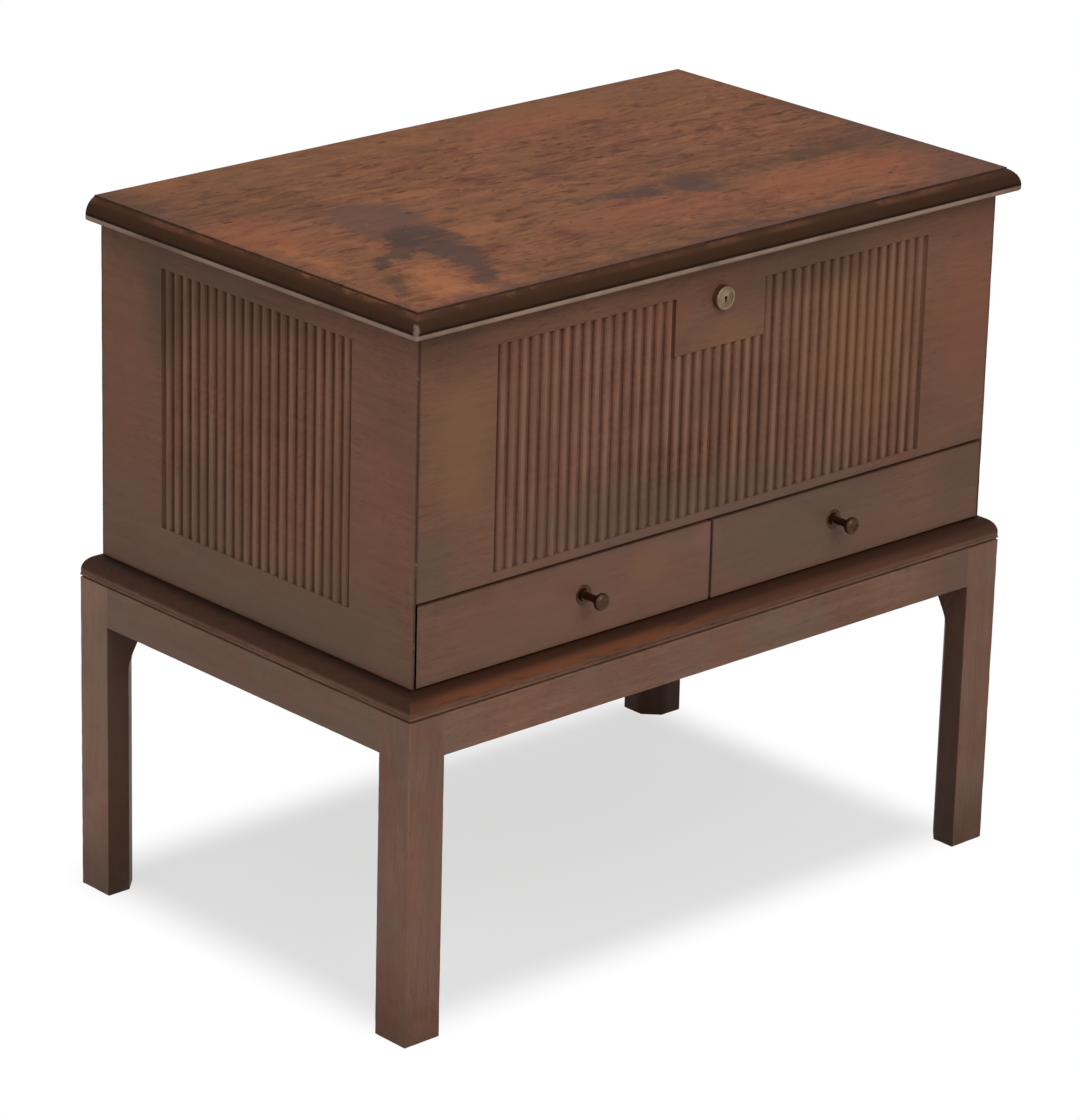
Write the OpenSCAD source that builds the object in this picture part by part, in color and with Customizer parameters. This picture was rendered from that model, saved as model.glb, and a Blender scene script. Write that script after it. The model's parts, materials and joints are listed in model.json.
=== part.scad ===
// Chest on stand: a chest with a hinged lid above two small drawers, on a low open stand.
// Millimetres. X runs to the right, Y to the back and Z up; the front faces -Y.
// The origin is on the floor, under the middle of the whole object.

/* [Chest] */
// Width of the chest
case_w = 700; // [660:1:780]
// Depth of the chest
case_d = 430; // [400:1:480]
// Height of the chest without its lid
case_h = 318; // [300:1:360]
// Thickness of the sides, front panel and drawer fronts
board_t = 18; // [17:0.5:20]
// Thickness of the back panel
back_t = 16; // [15:0.5:20]
// Thickness of the side board left behind the back panel's ends
back_lap = 9; // [7:0.5:10]
// Thickness of the bottom board that the drawers run on
bottom_t = 12; // [11:0.5:15]
// Depth of the rebate in each side that holds the bottom board
bottom_rebate = 8; // [5:0.5:10]
// Thickness of the floor of the upper compartment
floor_t = 9; // [7:0.5:12]
// Depth of the grooves that hold the floor
groove_d = 5; // [3:0.5:6]
// Wood left in the front panel under the floor's groove
groove_wall = 4; // [3:0.5:8]
// Thickness of the partition between the drawers
divider_t = 16; // [12:0.5:20]
// Depth of the housings that hold the partition
housing_d = 3; // [2:0.5:4]

/* [Reeding] */
// Distance from one reed to the next
reed_pitch = 12.1; // [10:0.1:14]
// Width of the flat groove between two reeds
reed_groove = 3.6; // [2.5:0.1:4.5]
// Depth of the reeded field under the face of the board
reed_depth = 4; // [3:0.1:4.5]
// Depth of the crown of a reed under the face of the board
crown_depth = 0.3; // [0.1:0.1:0.8]
// Least plain margin beside the reeding on the front
front_margin = 86; // [60:1:120]
// Least plain margin beside the reeding on the sides
side_margin = 84; // [60:1:110]
// Plain margin above the reeding
top_margin = 26; // [20:1:40]
// Height of the foot of the front reeding above the foot of the chest
front_reed_z = 87; // [85:1:110]
// Height of the foot of the side reeding above the foot of the chest
side_reed_z = 50; // [30:1:90]
// Reeds left out for the plain block round the lock
lock_block_reeds = 9; // [5:2:13]
// Height of that plain block below the top of the reeding
lock_block_h = 53; // [40:1:80]

/* [Lid] */
// Thickness of the lid
lid_t = 22; // [18:0.5:26]
// Overhang of the lid at the front
lid_front = 15; // [10:0.5:25]
// Overhang of the lid at each side
lid_side = 17; // [10:0.5:25]
// Height of the upright lip under the lid's moulding
lip_h = 5.5; // [4:0.5:7]
// Width of the lid's rounded moulding, seen from above
lid_round_w = 10; // [6:0.5:11]
// Height of the small step above the moulding
lid_step = 1.2; // [0.6:0.1:2]
// Radius of the rounding under the lid's lip
under_r = 3; // [1:0.5:4]

/* [Drawers] */
// Height of the drawer fronts
drawer_front_h = 74; // [68:0.5:76]
// Gap under the drawer fronts
foot_gap = 1.5; // [1:0.5:3]
// Gap between the drawer fronts and the front panel
top_gap = 3; // [2:0.5:4]
// Gap between the two drawer fronts
middle_gap = 3; // [2:0.5:5]
// Gap at the mitred outer end of each drawer front
mitre_gap = 2.2; // [1:0.1:3]
// Thickness of the drawer sides and backs
lining_t = 9; // [8:0.5:12]
// Height of the drawer sides
lining_h = 60; // [50:1:62]
// Thickness of the drawer bottoms
drawer_bottom_t = 4; // [3:0.5:6]
// Height of the drawer bottom above the lower edge of the drawer sides
drawer_bottom_z = 7; // [5:0.5:12]
// Side clearance of a drawer on each side
run_side = 1; // [0.5:0.1:2]
// Clearance behind a closed drawer
run_back = 8; // [4:0.5:20]
// Depth of the dovetail that joins a drawer side to its front
tongue_d = 9; // [6:0.5:10]
// Dovetails at each back corner of a drawer
tails = 3; // [2:1:4]

/* [Knobs] */
// Distance of each knob from the middle of the chest
knob_x = 155; // [120:1:200]
// Height of each knob above the foot of the chest
knob_z = 42; // [30:1:55]
// Length of the knob in front of the drawer
knob_l = 27; // [20:0.5:32]
// Radius of the knob's head
knob_r = 8; // [6:0.2:11]
// Radius of the knob's neck
neck_r = 3.4; // [2.8:0.1:5]
// Radius of the rosette behind the knob
rosette_r = 9; // [7:0.5:12]
// Thickness of the rosette
rosette_t = 1.8; // [1:0.1:3]

/* [Lock] */
// Depth of the lock's axis below the top of the chest
lock_drop = 34; // [33:0.5:38]
// Radius of the brass barrel in front of the panel
barrel_r = 11; // [9.5:0.5:14]
// Length of the barrel in front of the panel
barrel_l = 6.8; // [4:0.2:10]
// Radius of the turning plug
plug_r = 6; // [5:0.1:6.5]
// Width of the lock's box
lock_w = 64; // [64:1:76]
// Height of the lock's box
lock_h = 48; // [46:1:56]
// Depth of the lock in the front panel
lock_t = 11; // [11:0.2:12]
// Distance of the lock's crank pin from the axis
crank_r = 7; // [6.4:0.1:7.2]

/* [Hinges] */
// Distance of the middle of each hinge from the end of the chest
hinge_in = 120; // [60:1:200]
// Length of each hinge
hinge_l = 60; // [45:1:80]
// Width of each leaf on the wood
leaf_w = 13; // [11:0.5:14]
// Thickness of each leaf
leaf_t = 2.2; // [1.8:0.1:2.6]
// Radius of the knuckles
knuckle_r = 3.5; // [3.2:0.1:4.5]
// Radius of the hinge pin
pin_r = 1.75; // [1.4:0.05:2]
// How far the lid opens, in degrees, before the heels of the hinges meet
lid_open = 95; // [90:1:105]

/* [Stand] */
// Height of the stand
stand_h = 326; // [250:1:420]
// Ledge of the stand in front of and behind the chest
ledge_front = 13.5; // [13:0.5:20]
// Ledge of the stand beside the chest
ledge_side = 15.5; // [13:0.5:22]
// Thickness of the stand's top frame
top_t = 22; // [20:0.5:28]
// Width of each member of the top frame
member_w = 55; // [50:1:70]
// Radius of the rounded edge of the top frame
edge_r = 15; // [10:0.5:16]
// Radius of the bead under the rounded edge
bead_r = 1.6; // [1:0.1:2.2]
// Depth and height of the fine groove under the bead
quirk = 1.4; // [0.8:0.1:2]
// Side of the square legs
leg_s = 40; // [38:0.5:50]
// Height of the aprons under the top frame
apron_h = 38.5; // [34:0.5:60]
// Thickness of the aprons
apron_t = 20; // [16:0.5:22]
// Width of the chamfer on the inner corner of each leg
leg_chamfer = 16; // [6:0.5:18]
// Distance from the apron down to the start of the chamfer
chamfer_start = 2; // [0:1:20]
// Height over which the chamfer runs out
chamfer_run = 46; // [24:1:50]
// Thickness of the tenons
tenon_t = 9; // [6:0.5:10]
// Length of the tenons
tenon_l = 22; // [15:0.5:24]
// Shoulder above and below each tenon
tenon_shoulder = 5; // [3:0.5:8]
// Side of the square glue blocks
block_s = 16; // [12:1:20]
// Length of the glue blocks
block_l = 60; // [40:1:80]

/* [Hidden] */

// Smoothness of round faces, and how far a cutter reaches past what it cuts
$fn = 64;
over = 1;

// Clearances
rest_gap = 0.3;        // between a closed drawer and what it stops against or runs on
pin_clear = 0.05;      // radial, between a turning piece and its bore
bush_clear = 0.2;      // radial, round the lock barrel in the wood
knuckle_gap = 0.4;     // between a knuckle and the other leaf
side_gap = 0.3;        // between two knuckles, along the pin
tenon_end = 1;         // glue space at the end of a tenon
screw_grip = 0.1;      // how much less than a screw its pilot hole measures, in radius

// Colours
top_colour = [0.47, 0.27, 0.18];
case_colour = [0.40, 0.25, 0.18];
stand_colour = [0.38, 0.24, 0.17];
lining_colour = [0.62, 0.47, 0.32];
brass_colour = [0.66, 0.55, 0.34];
dark_brass_colour = [0.33, 0.25, 0.17];
steel_colour = [0.55, 0.55, 0.56];

// Overall sizes of the stand
stand_w = case_w + 2 * ledge_side;
stand_d = case_d + 2 * ledge_front;
leg_h = stand_h - top_t;
apron_z = leg_h - apron_h;

// Heights inside the chest
case_top = stand_h + case_h;
drawer_z = stand_h + bottom_t + rest_gap;
front_z = stand_h + foot_gap;
panel_z = front_z + drawer_front_h + top_gap;
floor_z = panel_z + groove_wall;

// Depths, measured from the middle of the chest
face_y = -case_d / 2;
inner_y = face_y + board_t;
back_y = case_d / 2 - back_t;
front_t = board_t - rest_gap;

// Widths, measured from the middle of the chest
inner_x = case_w / 2 - board_t;
back_w = case_w - 2 * back_lap;
hinge_x = case_w / 2 - hinge_in;

// The whole object reaches from the knobs to the back edge of the stand
centre_y = (case_d / 2 + knob_l - stand_d / 2) / 2;

module place() {
    translate([0, centre_y, 0]) children();
}

// Mirrors what follows to the right or the back where a sign is positive
module to_corner(sx, sy) {
    mirror([sx > 0 ? 1 : 0, 0, 0]) mirror([0, sy > 0 ? 1 : 0, 0]) children();
}

// A box given by its lowest and highest corners
module block(low, high) {
    translate(low) cube(high - low);
}

// Points a child that stands along +Z towards the front
module to_front() {
    rotate([90, 0, 0]) children();
}

// Screws: a countersunk screw stands head down at the origin and its point is up

module screw(r, length, head_r) {
    head_h = head_r - r;
    point_r = r / 4;
    cylinder(r1 = head_r, r2 = r, h = head_h);
    cylinder(r = r, h = length - r);
    translate([0, 0, length - r]) cylinder(r1 = r, r2 = point_r, h = r);
}

module screw_slot(head_r) {
    slot_w = head_r / 4;
    slot_d = head_r / 6;
    translate([-head_r, -slot_w / 2, -over]) cube([2 * head_r, slot_w, over + slot_d]);
}

module slotted_screw(r, length, head_r) {
    difference() {
        screw(r, length, head_r);
        screw_slot(head_r);
    }
}

module pilot(r, length, head_r) {
    head_h = head_r - r;
    translate([0, 0, -over]) cylinder(r = head_r, h = over);
    cylinder(r1 = head_r, r2 = r, h = head_h);
    cylinder(r = r - screw_grip, h = length);
}

wood_screw_r = 1.6;
wood_screw_head = 3.2;
wood_screw_l = 14;
small_screw_r = 1.1;
small_screw_head = 2.3;
small_screw_l = 10;
long_screw_r = 2.2;
long_screw_head = 4.4;
long_screw_wall = 4;   // wood left above the point of a long screw
long_screw_l = top_t + bottom_t - long_screw_wall;
back_screw_l = 28;
back_screw_low = 51;   // lowest screw of the back, above the foot of the chest
back_screw_high = 38;  // highest screw of the back, below the top of the chest

// Stand

module tenon_pair(span, reach, extra) {
    tenon_y = -reach + apron_t / 2;
    for (s = [-1, 1])
        block([s > 0 ? span / 2 : -span / 2 - tenon_l - extra,
               tenon_y - tenon_t / 2, apron_z + tenon_shoulder],
              [s > 0 ? span / 2 + tenon_l + extra : -span / 2,
               tenon_y + tenon_t / 2, leg_h - tenon_shoulder]);
}

module front_tenons(extra) {
    tenon_pair(stand_w - 2 * leg_s, stand_d / 2, extra);
}

module side_tenons(extra) {
    rotate([0, 0, -90]) tenon_pair(stand_d - 2 * leg_s, stand_w / 2, extra);
}

// The chamfer's outline seen along its length: its upper end sweeps out of the corner in an
// S, which ends a little outside the leg so that it meets the corner at an angle
module chamfer_outline() {
    outside = 0.8;
    steps = 16;
    depth = leg_chamfer / sqrt(2);
    high = apron_z - chamfer_start;
    sweep = [for (i = [0 : steps]) [
        depth - (depth + outside) * (1 - cos(180 * i / steps)) / 2,
        high - chamfer_run * (1 - i / steps)
    ]];
    polygon(concat([[-over, high], [-over, -over], [depth, -over]], sweep));
}

module leg(sx, sy) {
    corner = [-stand_w / 2, -stand_d / 2, 0];
    color(stand_colour) place() to_corner(sx, sy) difference() {
        block(corner, corner + [leg_s, leg_s, leg_h]);
        translate(corner + [leg_s, leg_s, 0]) rotate([0, 0, 225]) rotate([90, 0, 0])
            linear_extrude(height = 2 * leg_chamfer, center = true) chamfer_outline();
        front_tenons(tenon_end);
        side_tenons(tenon_end);
    }
}

module apron_bar(span, reach) {
    block([-span / 2, -reach, apron_z], [span / 2, -reach + apron_t, leg_h]);
    tenon_pair(span, reach, 0);
}

module apron_long(sy) {
    color(stand_colour) place() to_corner(-1, sy) apron_bar(stand_w - 2 * leg_s, stand_d / 2);
}

module apron_short(sx) {
    color(stand_colour) place() to_corner(sx, -1)
        rotate([0, 0, -90]) apron_bar(stand_d - 2 * leg_s, stand_w / 2);
}

// Section of the top frame from one outer face to the other: rounded edge, bead and quirk
module frame_section(width) {
    bead_z = quirk + bead_r;
    step = 0.5;
    difference() {
        translate([-width / 2, 0]) square([width, top_t]);
        for (s = [0, 1]) mirror([s, 0]) translate([-width / 2, 0]) {
            translate([-over, -over]) square([quirk + over, quirk + over]);
            difference() {
                translate([-over, quirk]) square([bead_r + over, 2 * bead_r]);
                translate([bead_r, bead_z]) circle(bead_r);
            }
            translate([-over, bead_z + bead_r]) square([step + over, top_t]);
            difference() {
                translate([step - over, top_t - edge_r]) square([edge_r + over, edge_r + over]);
                translate([step + edge_r, top_t - edge_r]) circle(edge_r, $fn = 96);
            }
        }
    }
}

module frame_blank() {
    translate([0, 0, leg_h]) intersection() {
        rotate([90, 0, 0]) linear_extrude(height = stand_d, center = true)
            frame_section(stand_w);
        rotate([90, 0, 90]) linear_extrude(height = stand_w, center = true)
            frame_section(stand_d);
    }
}

// One mitred member: the part of the frame between an outer face and its two mitres
module frame_member(width, reach) {
    m = member_w;
    translate([0, 0, leg_h - over]) linear_extrude(height = top_t + 2 * over)
        polygon([[-width / 2, -reach], [width / 2, -reach],
                 [width / 2 - m, -reach + m], [-width / 2 + m, -reach + m]]);
}

// Beside the glue blocks, near the inner edge of the frame
module case_screw_places() {
    screw_x = (stand_w - 2 * leg_s) / 4 + block_l / 2 + 2 * long_screw_head;
    screw_y = stand_d / 2 - member_w + 2 * long_screw_head;
    for (x = [-screw_x, screw_x], y = [-screw_y, screw_y]) translate([x, y, leg_h]) children();
}

module stand_top_long(sy) {
    color(stand_colour) place() to_corner(-1, sy) difference() {
        intersection() {
            frame_blank();
            frame_member(stand_w, stand_d / 2);
        }
        case_screw_places() pilot(long_screw_r, long_screw_l, long_screw_head);
    }
}

module stand_top_short(sx) {
    color(stand_colour) place() to_corner(sx, -1) intersection() {
        frame_blank();
        rotate([0, 0, -90]) frame_member(stand_d, stand_w / 2);
    }
}

module glue_block_row(span, reach) {
    for (x = [-span / 4, span / 4])
        block([x - block_l / 2, -reach + apron_t, leg_h - block_s],
              [x + block_l / 2, -reach + apron_t + block_s, leg_h]);
}

module glue_blocks() {
    color(lining_colour) place() for (s = [-1, 1]) {
        to_corner(-1, s) glue_block_row(stand_w - 2 * leg_s, stand_d / 2);
        to_corner(s, -1) rotate([0, 0, -90])
            glue_block_row(stand_d - 2 * leg_s, stand_w / 2);
    }
}

module case_screws() {
    color(steel_colour) place() case_screw_places()
        slotted_screw(long_screw_r, long_screw_l, long_screw_head);
}

// Reeding

function odd_below(x) = 2 * floor((x - 1) / 2) + 1;
front_reeds = odd_below((case_w - 2 * front_margin) / reed_pitch);
side_reeds = odd_below((case_d - 2 * side_margin) / reed_pitch);

// Seen from above: everything cut away from the face, which is the X axis, round n reeds
module reed_cut(n) {
    reed_w = reed_pitch - reed_groove;
    reed_h = reed_depth - crown_depth;
    r = (pow(reed_w / 2, 2) + pow(reed_h, 2)) / (2 * reed_h);
    field_w = n * reed_pitch + reed_groove;
    difference() {
        translate([-field_w / 2, -over]) square([field_w, reed_depth + over]);
        for (i = [0 : n - 1]) intersection() {
            translate([(i - (n - 1) / 2) * reed_pitch, crown_depth + r]) circle(r, $fn = 48);
            translate([-field_w / 2, 0]) square([field_w, reed_depth + over]);
        }
    }
}

module front_reeding() {
    block_w = lock_block_reeds * reed_pitch;
    high = case_top - top_margin;
    low = stand_h + front_reed_z;
    difference() {
        translate([0, face_y, low]) linear_extrude(height = high - low) reed_cut(front_reeds);
        block([-block_w / 2, face_y - 2 * over, high - lock_block_h],
              [block_w / 2, inner_y, high + over]);
    }
}

module side_reeding() {
    low = stand_h + side_reed_z;
    translate([-case_w / 2, 0, low]) rotate([0, 0, -90])
        linear_extrude(height = case_top - top_margin - low) reed_cut(side_reeds);
}

// Chest

module back_screw_places() {
    for (x = [-1, 1], z = [back_screw_low, case_h / 2, case_h - back_screw_high])
        translate([x * (case_w / 2 - (back_lap + board_t) / 2), case_d / 2, stand_h + z])
            to_front() children();
}

module side(sx) {
    w = case_w / 2;
    color(case_colour) place() to_corner(sx, -1) difference() {
        translate([0, 0, stand_h]) linear_extrude(height = case_h)
            polygon([[-w, face_y], [-w + board_t, inner_y], [-w + board_t, back_y],
                     [-w + back_lap, back_y], [-w + back_lap, case_d / 2], [-w, case_d / 2]]);
        block([-inner_x - bottom_rebate, inner_y, stand_h - over],
              [-inner_x + over, back_y, stand_h + bottom_t]);
        block([-inner_x - groove_d, inner_y, floor_z],
              [-inner_x + over, back_y, floor_z + floor_t]);
        side_reeding();
        back_screw_places() pilot(wood_screw_r, back_screw_l, wood_screw_head);
    }
}

module front_panel() {
    w = case_w / 2;
    color(case_colour) place() difference() {
        translate([0, 0, panel_z]) linear_extrude(height = case_top - panel_z)
            polygon([[-w, face_y], [w, face_y], [inner_x, inner_y], [-inner_x, inner_y]]);
        front_reeding();
        block([-inner_x, inner_y - groove_d, floor_z],
              [inner_x, inner_y + over, floor_z + floor_t]);
        block([-lock_w / 2, inner_y - lock_t, case_top - lock_h],
              [lock_w / 2, inner_y + over, case_top + over]);
        block([-cap_w / 2, inner_y - cap_t, case_top - lock_h],
              [cap_w / 2, inner_y + over, case_top + over]);
        lock_axis() translate([0, 0, -over]) cylinder(r = shank_r + bush_clear, h = board_t + 2 * over);
        lock_screw_places() pilot(small_screw_r, small_screw_l, small_screw_head);
    }
}

module back_panel() {
    color(case_colour) place() difference() {
        block([-back_w / 2, back_y, stand_h], [back_w / 2, case_d / 2, case_top]);
        block([-inner_x, back_y - over, floor_z], [inner_x, back_y + groove_d, floor_z + floor_t]);
        for (s = [-1, 1]) block([s * hinge_x - hinge_l / 2, leaf_y, case_top - leaf_t],
                                [s * hinge_x + hinge_l / 2, case_d / 2 + over, case_top + over]);
        back_screw_places() pilot(wood_screw_r, back_screw_l, wood_screw_head);
        case_leaf_screw_places() pilot(wood_screw_r, wood_screw_l, wood_screw_head);
    }
}

module back_screws() {
    color(steel_colour) place() back_screw_places()
        slotted_screw(wood_screw_r, back_screw_l, wood_screw_head);
}

module divider_solid() {
    block([-divider_t / 2, inner_y, stand_h + bottom_t - housing_d],
          [divider_t / 2, back_y, floor_z + housing_d]);
}

module bottom_board() {
    color(lining_colour) place() difference() {
        block([-inner_x - bottom_rebate, inner_y, stand_h],
              [inner_x + bottom_rebate, back_y, stand_h + bottom_t]);
        divider_solid();
        case_screw_places() pilot(long_screw_r, long_screw_l, long_screw_head);
    }
}

module chest_floor() {
    color(lining_colour) place() difference() {
        union() {
            block([-inner_x - groove_d, inner_y, floor_z],
                  [inner_x + groove_d, back_y, floor_z + floor_t]);
            block([-inner_x, inner_y - groove_d, floor_z],
                  [inner_x, back_y + groove_d, floor_z + floor_t]);
        }
        divider_solid();
    }
}

module drawer_divider() {
    color(case_colour) place() divider_solid();
}

// Lock: a box in the front panel, whose bolt slides through two staples on the lid

lock_z = case_top - lock_drop;
lock_wall = 1.4;
shank_r = 9.4;
cap_t = 1.5;
cap_wing = 12;         // how far the cap reaches past the box on each side
cap_w = lock_w + 2 * cap_wing;
lock_screw_in = 9.6;   // from the cap's upper and lower edges
crank_turn = 90;
crank_rest = -crank_turn / 2;
crank_pin_r = 1.6;
crank_pin_end = 0.4;   // how far the crank pin stands through the bolt
crank_rim = 0.4;
crank_disc_r = crank_r + crank_pin_r + crank_rim;
crank_slack = 0.45;
bolt_travel = 2 * crank_r * sin(crank_turn / 2);

// Depths of the lock's layers behind the outer face of the box
wall_y = inner_y - lock_t;
disc_gap = 0.3;
disc_t = 2;
bolt_gap = 0.5;
bolt_t = 2.6;
disc_y = wall_y + lock_wall + disc_gap;
bolt_y = disc_y + disc_t + bolt_gap;
cap_y = inner_y - cap_t;

// Heights of the staples and of the bolt, down from the top of the chest
staple_t = 3;
staple_w = 7;
staple_h = 15.2;
staple_y = bolt_y + bolt_t / 2 - staple_w / 2;
eye_low = 13.8;
eye_high = 8.7;
eye_w = 4.2;
prong_low = 13;
prong_high = 9.5;
bolt_top = 16.4;
bolt_sole = 2.3;
bolt_foot = lock_drop - crank_r * cos(crank_turn / 2) + crank_pin_r + bolt_sole;
bolt_tail = 6;
staple_xs = [-15, 10];
prong_clear = 1.2;
arm_w = 3;
arm_clear = 0.5;
slot_end = 0.7;
staple_clear = 0.8;
rail_z = case_top - bolt_foot - rest_gap;

module lock_axis() {
    translate([0, inner_y, lock_z]) to_front() children();
}

module lock_screw_places() {
    for (x = [-1, 1], z = [lock_screw_in, lock_h - lock_screw_in])
        translate([x * (lock_w + cap_wing) / 2, inner_y, case_top - z]) to_front() children();
}

module lock_case() {
    low = case_top - lock_h;
    color(brass_colour) place() difference() {
        block([-lock_w / 2, wall_y, low], [lock_w / 2, cap_y, case_top]);
        difference() {
            block([-lock_w / 2 + lock_wall, wall_y + lock_wall, low + lock_wall],
                  [lock_w / 2 - lock_wall, inner_y, case_top - lock_wall]);
            block([-lock_w / 2, bolt_y - bolt_gap / 2, rail_z - lock_wall],
                  [lock_w / 2, inner_y, rail_z]);
        }
        for (x = staple_xs)
            block([x - staple_clear, wall_y + lock_wall, case_top - 2 * lock_wall],
                  [x + staple_t + staple_clear, inner_y, case_top + over]);
        translate([0, wall_y + lock_wall + over, lock_z]) to_front()
            cylinder(r = plug_r + bush_clear, h = lock_wall + 2 * over);
    }
}

module lock_cap() {
    color(brass_colour) place() difference() {
        block([-cap_w / 2, cap_y, case_top - lock_h], [cap_w / 2, inner_y, case_top]);
        lock_screw_places() pilot(small_screw_r, small_screw_l, small_screw_head);
    }
}

module lock_screws() {
    color(brass_colour) place() lock_screw_places()
        slotted_screw(small_screw_r, small_screw_l, small_screw_head);
}

module lock_barrel() {
    edge = 1.4;
    dish = 0.6;
    dish_rim = 2;
    color(brass_colour) place() translate([0, wall_y, lock_z]) to_front() {
        rear = wall_y - face_y;
        rotate_extrude() difference() {
            union() {
                translate([plug_r + pin_clear, 0])
                    square([shank_r - plug_r - pin_clear, rear]);
                translate([plug_r + pin_clear, rear])
                    square([barrel_r - plug_r - pin_clear, barrel_l - edge]);
                translate([plug_r + pin_clear, rear + barrel_l - edge])
                    square([barrel_r - edge - plug_r - pin_clear, edge]);
                intersection() {
                    translate([barrel_r - edge, rear + barrel_l - edge]) circle(edge);
                    translate([barrel_r - edge, rear + barrel_l - edge]) square(edge + over);
                }
            }
            translate([0, rear + barrel_l - dish]) square([plug_r + dish_rim, dish + over]);
        }
    }
}

key_depth = 9;

module key_slot() {
    slot_w = 1.8;
    hole_r = 1.7;
    slot_wall = 1.7;
    cylinder(r = hole_r, h = key_depth + over);
    translate([-slot_w / 2, -plug_r + slot_wall, 0])
        cube([slot_w, plug_r - slot_wall, key_depth + over]);
}

module lock_plug() {
    // The plug reaches from just inside the barrel's face to the back of the crank disc
    recess = 0.9;
    front = face_y - barrel_l + recess;
    pin_l = bolt_gap + bolt_t + crank_pin_end;
    color(brass_colour) place() translate([0, disc_y + disc_t, lock_z]) to_front() difference() {
        length = disc_y + disc_t - front;
        union() {
            cylinder(r = plug_r, h = length);
            cylinder(r = crank_disc_r, h = disc_t);
            translate([crank_r * sin(crank_rest), crank_r * cos(crank_rest), -pin_l])
                cylinder(r = crank_pin_r, h = pin_l + disc_t);
        }
        translate([0, 0, length - key_depth]) key_slot();
    }
}

module lock_bolt() {
    slot_w = 2 * (crank_pin_r + crank_slack);
    pin_x = crank_r * sin(crank_rest);
    pin_low = lock_drop - crank_r * cos(crank_rest);
    pin_high = lock_drop - crank_r;
    arm_edge = [for (x = staple_xs) x - bolt_travel - arm_clear];
    color(steel_colour) place() difference() {
        union() {
            block([arm_edge[0] - arm_w, bolt_y, case_top - bolt_foot],
                  [pin_x + slot_w + bolt_tail, bolt_y + bolt_t, case_top - bolt_top]);
            for (i = [0, 1]) {
                block([arm_edge[i] - arm_w, bolt_y, case_top - bolt_top - over],
                      [arm_edge[i], bolt_y + bolt_t, case_top - prong_high]);
                block([arm_edge[i] - over, bolt_y, case_top - prong_low],
                      [staple_xs[i] - prong_clear, bolt_y + bolt_t, case_top - prong_high]);
            }
        }
        block([pin_x - slot_w / 2, bolt_y - over, case_top - pin_low - crank_pin_r - slot_end],
              [pin_x + slot_w / 2, bolt_y + bolt_t + over,
               case_top - pin_high + crank_pin_r + slot_end]);
    }
}

// Link plate with its two staples, under the front of the lid

plate_t = 1.6;
plate_end = 4;         // how far the plate reaches past the lock's box at each end
plate_w = lock_w + 2 * plate_end;
plate_d = 14;
plate_back = 0.5;      // how far its back edge lies behind the front of the lock's cap
plate_y = cap_y - plate_d + plate_back;
plate_screw_in = 5;

module link_screw_places() {
    for (x = [-1, 1])
        translate([x * (plate_w / 2 - plate_screw_in), plate_y + plate_d / 2, case_top])
            children();
}

module link_plate() {
    color(brass_colour) place() difference() {
        union() {
            block([-plate_w / 2, plate_y, case_top], [plate_w / 2, plate_y + plate_d,
                   case_top + plate_t]);
            for (x = staple_xs) difference() {
                block([x, staple_y, case_top - staple_h],
                      [x + staple_t, staple_y + staple_w, case_top + over]);
                block([x - over, staple_y + (staple_w - eye_w) / 2, case_top - eye_low],
                      [x + staple_t + over, staple_y + (staple_w + eye_w) / 2,
                       case_top - eye_high]);
            }
        }
        link_screw_places() pilot(small_screw_r, small_screw_l, small_screw_head);
    }
}

module link_plate_screws() {
    color(brass_colour) place() link_screw_places()
        slotted_screw(small_screw_r, small_screw_l, small_screw_head);
}

// Hinges: two butt hinges whose heels meet when the lid has opened as far as it goes

leaf_y = case_d / 2 - leaf_w;
axis_y = case_d / 2 + knuckle_r + knuckle_gap;
knuckles = 5;
heel_gap = 0.2;        // radial, beyond the gap round a knuckle
heel_t = 3;
heel_root = 0.8;       // metal between the pin and the root of a heel
heel_in = knuckle_r + knuckle_gap + heel_gap;
heel_out = heel_in + heel_t;
heel_top = -40;
heel_angle = 25;
heel_slack = 0.5;
pin_head = 1.2;
pin_head_lip = 0.8;
leaf_screw_in = 7.2;   // from the back of the chest

// Every second knuckle along a hinge, from the one numbered first
module knuckle_spans(first) {
    pitch = hinge_l / knuckles;
    for (i = [first : 2 : knuckles - 1]) {
        low = i == 0 ? 0 : side_gap / 2;
        high = i == knuckles - 1 ? 0 : side_gap / 2;
        translate([-hinge_l / 2 + i * pitch + low, 0, 0])
            rotate([90, 0, 90]) linear_extrude(height = pitch - low - high) children();
    }
}

module sector(r0, r1, a0, a1) {
    reach = 2 * r1;
    intersection() {
        difference() {
            circle(r1);
            circle(r0);
        }
        polygon([[0, 0], reach * [cos(a0), sin(a0)], reach * [cos(a1), sin(a1)]]);
    }
}

// A leaf about the hinge's axis: s is -1 for the leaf on the chest and 1 for the one on the lid
module leaf(s, first, heel_a) {
    other = 1 - first;
    difference() {
        union() {
            block([-hinge_l / 2, leaf_y - axis_y, s > 0 ? 0 : -leaf_t],
                  [hinge_l / 2, 0, s > 0 ? leaf_t : 0]);
            knuckle_spans(first) circle(knuckle_r);
            knuckle_spans(first) sector(pin_r + heel_root, heel_out, heel_a, heel_a + heel_angle);
            translate([-hinge_l / 2, 0, 0]) rotate([90, 0, 90]) linear_extrude(height = hinge_l)
                sector(heel_in, heel_out, heel_a, heel_a + heel_angle);
        }
        for (i = [other : 2 : knuckles - 1])
            translate([-hinge_l / 2 + i * hinge_l / knuckles - side_gap / 2, 0, 0])
                rotate([0, 90, 0])
                    cylinder(r = knuckle_r + knuckle_gap, h = hinge_l / knuckles + side_gap);
        translate([-hinge_l, 0, 0]) rotate([0, 90, 0])
            cylinder(r = s > 0 ? pin_r + pin_clear : pin_r, h = 2 * hinge_l);
    }
}

module at_hinge(sx) {
    translate([sx * hinge_x, axis_y, case_top]) children();
}

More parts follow.
